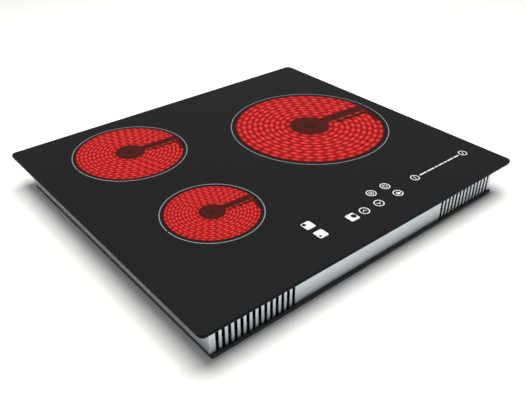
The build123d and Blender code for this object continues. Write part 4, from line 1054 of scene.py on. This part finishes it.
def cool_hub(zone, centre, radius, hub_share):
    """Keyhole that stays dim: a round hub that narrows into the bar of the limiter."""
    hub_radius = hub_share * radius
    middle = (BAR_UPPER + BAR_LOWER) / 2 * radius
    half = (BAR_UPPER - BAR_LOWER) / 2 * radius
    hub = start(
        bpy.ops.mesh.primitive_circle_add,
        f"cool_hub_{zone}",
        vertices=HUB_SIDES,
        radius=hub_radius,
        fill_type="NGON",
        location=(0, 0, GLOW_HUB),
    )
    bpy.ops.object.mode_set(mode="EDIT")
    mouth = hub_radius * math.cos(HUB_MOUTH)
    pick(hub, "EDGE", lambda edge: all(vertex.co.x > mouth for vertex in edge.verts))
    for x, width in ((HUB_NECK * radius, half), (BAR_END * radius, half)):
        bpy.ops.mesh.extrude_edges_move()
        mesh = bmesh.from_edit_mesh(hub.data)
        front = [vertex.co.copy() for vertex in mesh.verts if vertex.select]
        low_y, high_y = min(v.y for v in front), max(v.y for v in front)
        centre_x = sum(v.x for v in front) / len(front)
        bpy.ops.transform.resize(
            value=(0, 2 * width / (high_y - low_y), 1),
            center_override=(centre_x, (low_y + high_y) / 2, GLOW_HUB),
        )
        bpy.ops.transform.translate(value=(x - centre_x, middle - (low_y + high_y) / 2, 0))
    bpy.ops.object.mode_set(mode="OBJECT")
    thicken(hub, GLOW_SKIN)
    place_in_zone(hub, centre)
    # painted glow: the bands' light on the hub and the limiter's bar
    finish = cool_hub_field(f"cool_hub_{zone}", centre, radius)
    settle(hub, finish, "root", "insulation")


def glow_disc(zone, centre, radius):
    """Round field of painted glow, the bands' light on the insulation, a little wider than the band so
    that its edge can die out.
    """
    disc = start(
        bpy.ops.mesh.primitive_circle_add,
        f"heat_field_{zone}",
        vertices=FIELD_SIDES,
        radius=radius * GLOW_BLEED,
        fill_type="NGON",
        location=(centre.x, centre.y, GLOW_FIELD),
    )
    thicken(disc, GLOW_SKIN)
    # painted glow: the bands' light on the insulation under them, in deep red
    finish = painted_band_light_field(f"radiant_heat_{zone}", centre, radius, "#84100e", "#a31513")
    settle(disc, finish, "root", "heating_alloy")


for zone, (radius, hub_share) in GLOW_SIZE.items():
    low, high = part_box(f"heater_{zone}_pan")
    centre = (low + high) / 2
    glow_disc(zone, centre, radius)
    cool_hub(zone, centre, radius, hub_share)
    cold_end(zone, centre, radius, hub_share)
    band_strip(zone, centre, radius, hub_share)
    lead_strip(zone, centre, radius, hub_share)
    bow_springs(zone)


# =========================================================================================
# Floor, light and camera
# =========================================================================================
FLOOR_SIZE = 14.0
FLOOR_MIDDLE = (0.0, 3.0, 0.0)
SKY_GREY = 0.25
LENS = 42.77
SENSOR_WIDTH = 36
CAMERA_PLACE = (-0.5460, -0.6610, 0.5352)
CAMERA_AIM = (0.53891, 0.64315, -0.5440)

floor = start(
    bpy.ops.mesh.primitive_plane_add, "floor", size=FLOOR_SIZE, location=FLOOR_MIDDLE
)
dress(floor, plain_floor())

world = bpy.data.worlds.new("studio")
bpy.context.scene.world = world
world.use_nodes = True
sky = world.node_tree.nodes["Background"]
sky.inputs["Color"].default_value = (SKY_GREY, SKY_GREY, SKY_GREY, 1)
sky.inputs["Strength"].default_value = 1.0


def softbox(name, place, width, depth, power):
    """A rectangular area light that hangs level and shines straight down."""
    light = bpy.data.lights.new(name, "AREA")
    light.shape = "RECTANGLE"
    light.size = width
    light.size_y = depth
    light.energy = power
    lamp = bpy.data.objects.new(name, light)
    bpy.context.scene.collection.objects.link(lamp)
    lamp.location = place


softbox("overhead", place=(0.0, -0.04, 2.6), width=2.0, depth=1.6, power=88)

camera_data = bpy.data.cameras.new("camera")
camera_data.lens = LENS
camera_data.sensor_width = SENSOR_WIDTH
camera = bpy.data.objects.new("camera", camera_data)
bpy.context.scene.collection.objects.link(camera)
camera.location = CAMERA_PLACE
camera.rotation_mode = "QUATERNION"
camera.rotation_quaternion = Vector(CAMERA_AIM).to_track_quat("-Z", "Y")
bpy.context.scene.camera = camera
bpy.context.scene.view_settings.view_transform = "Standard"
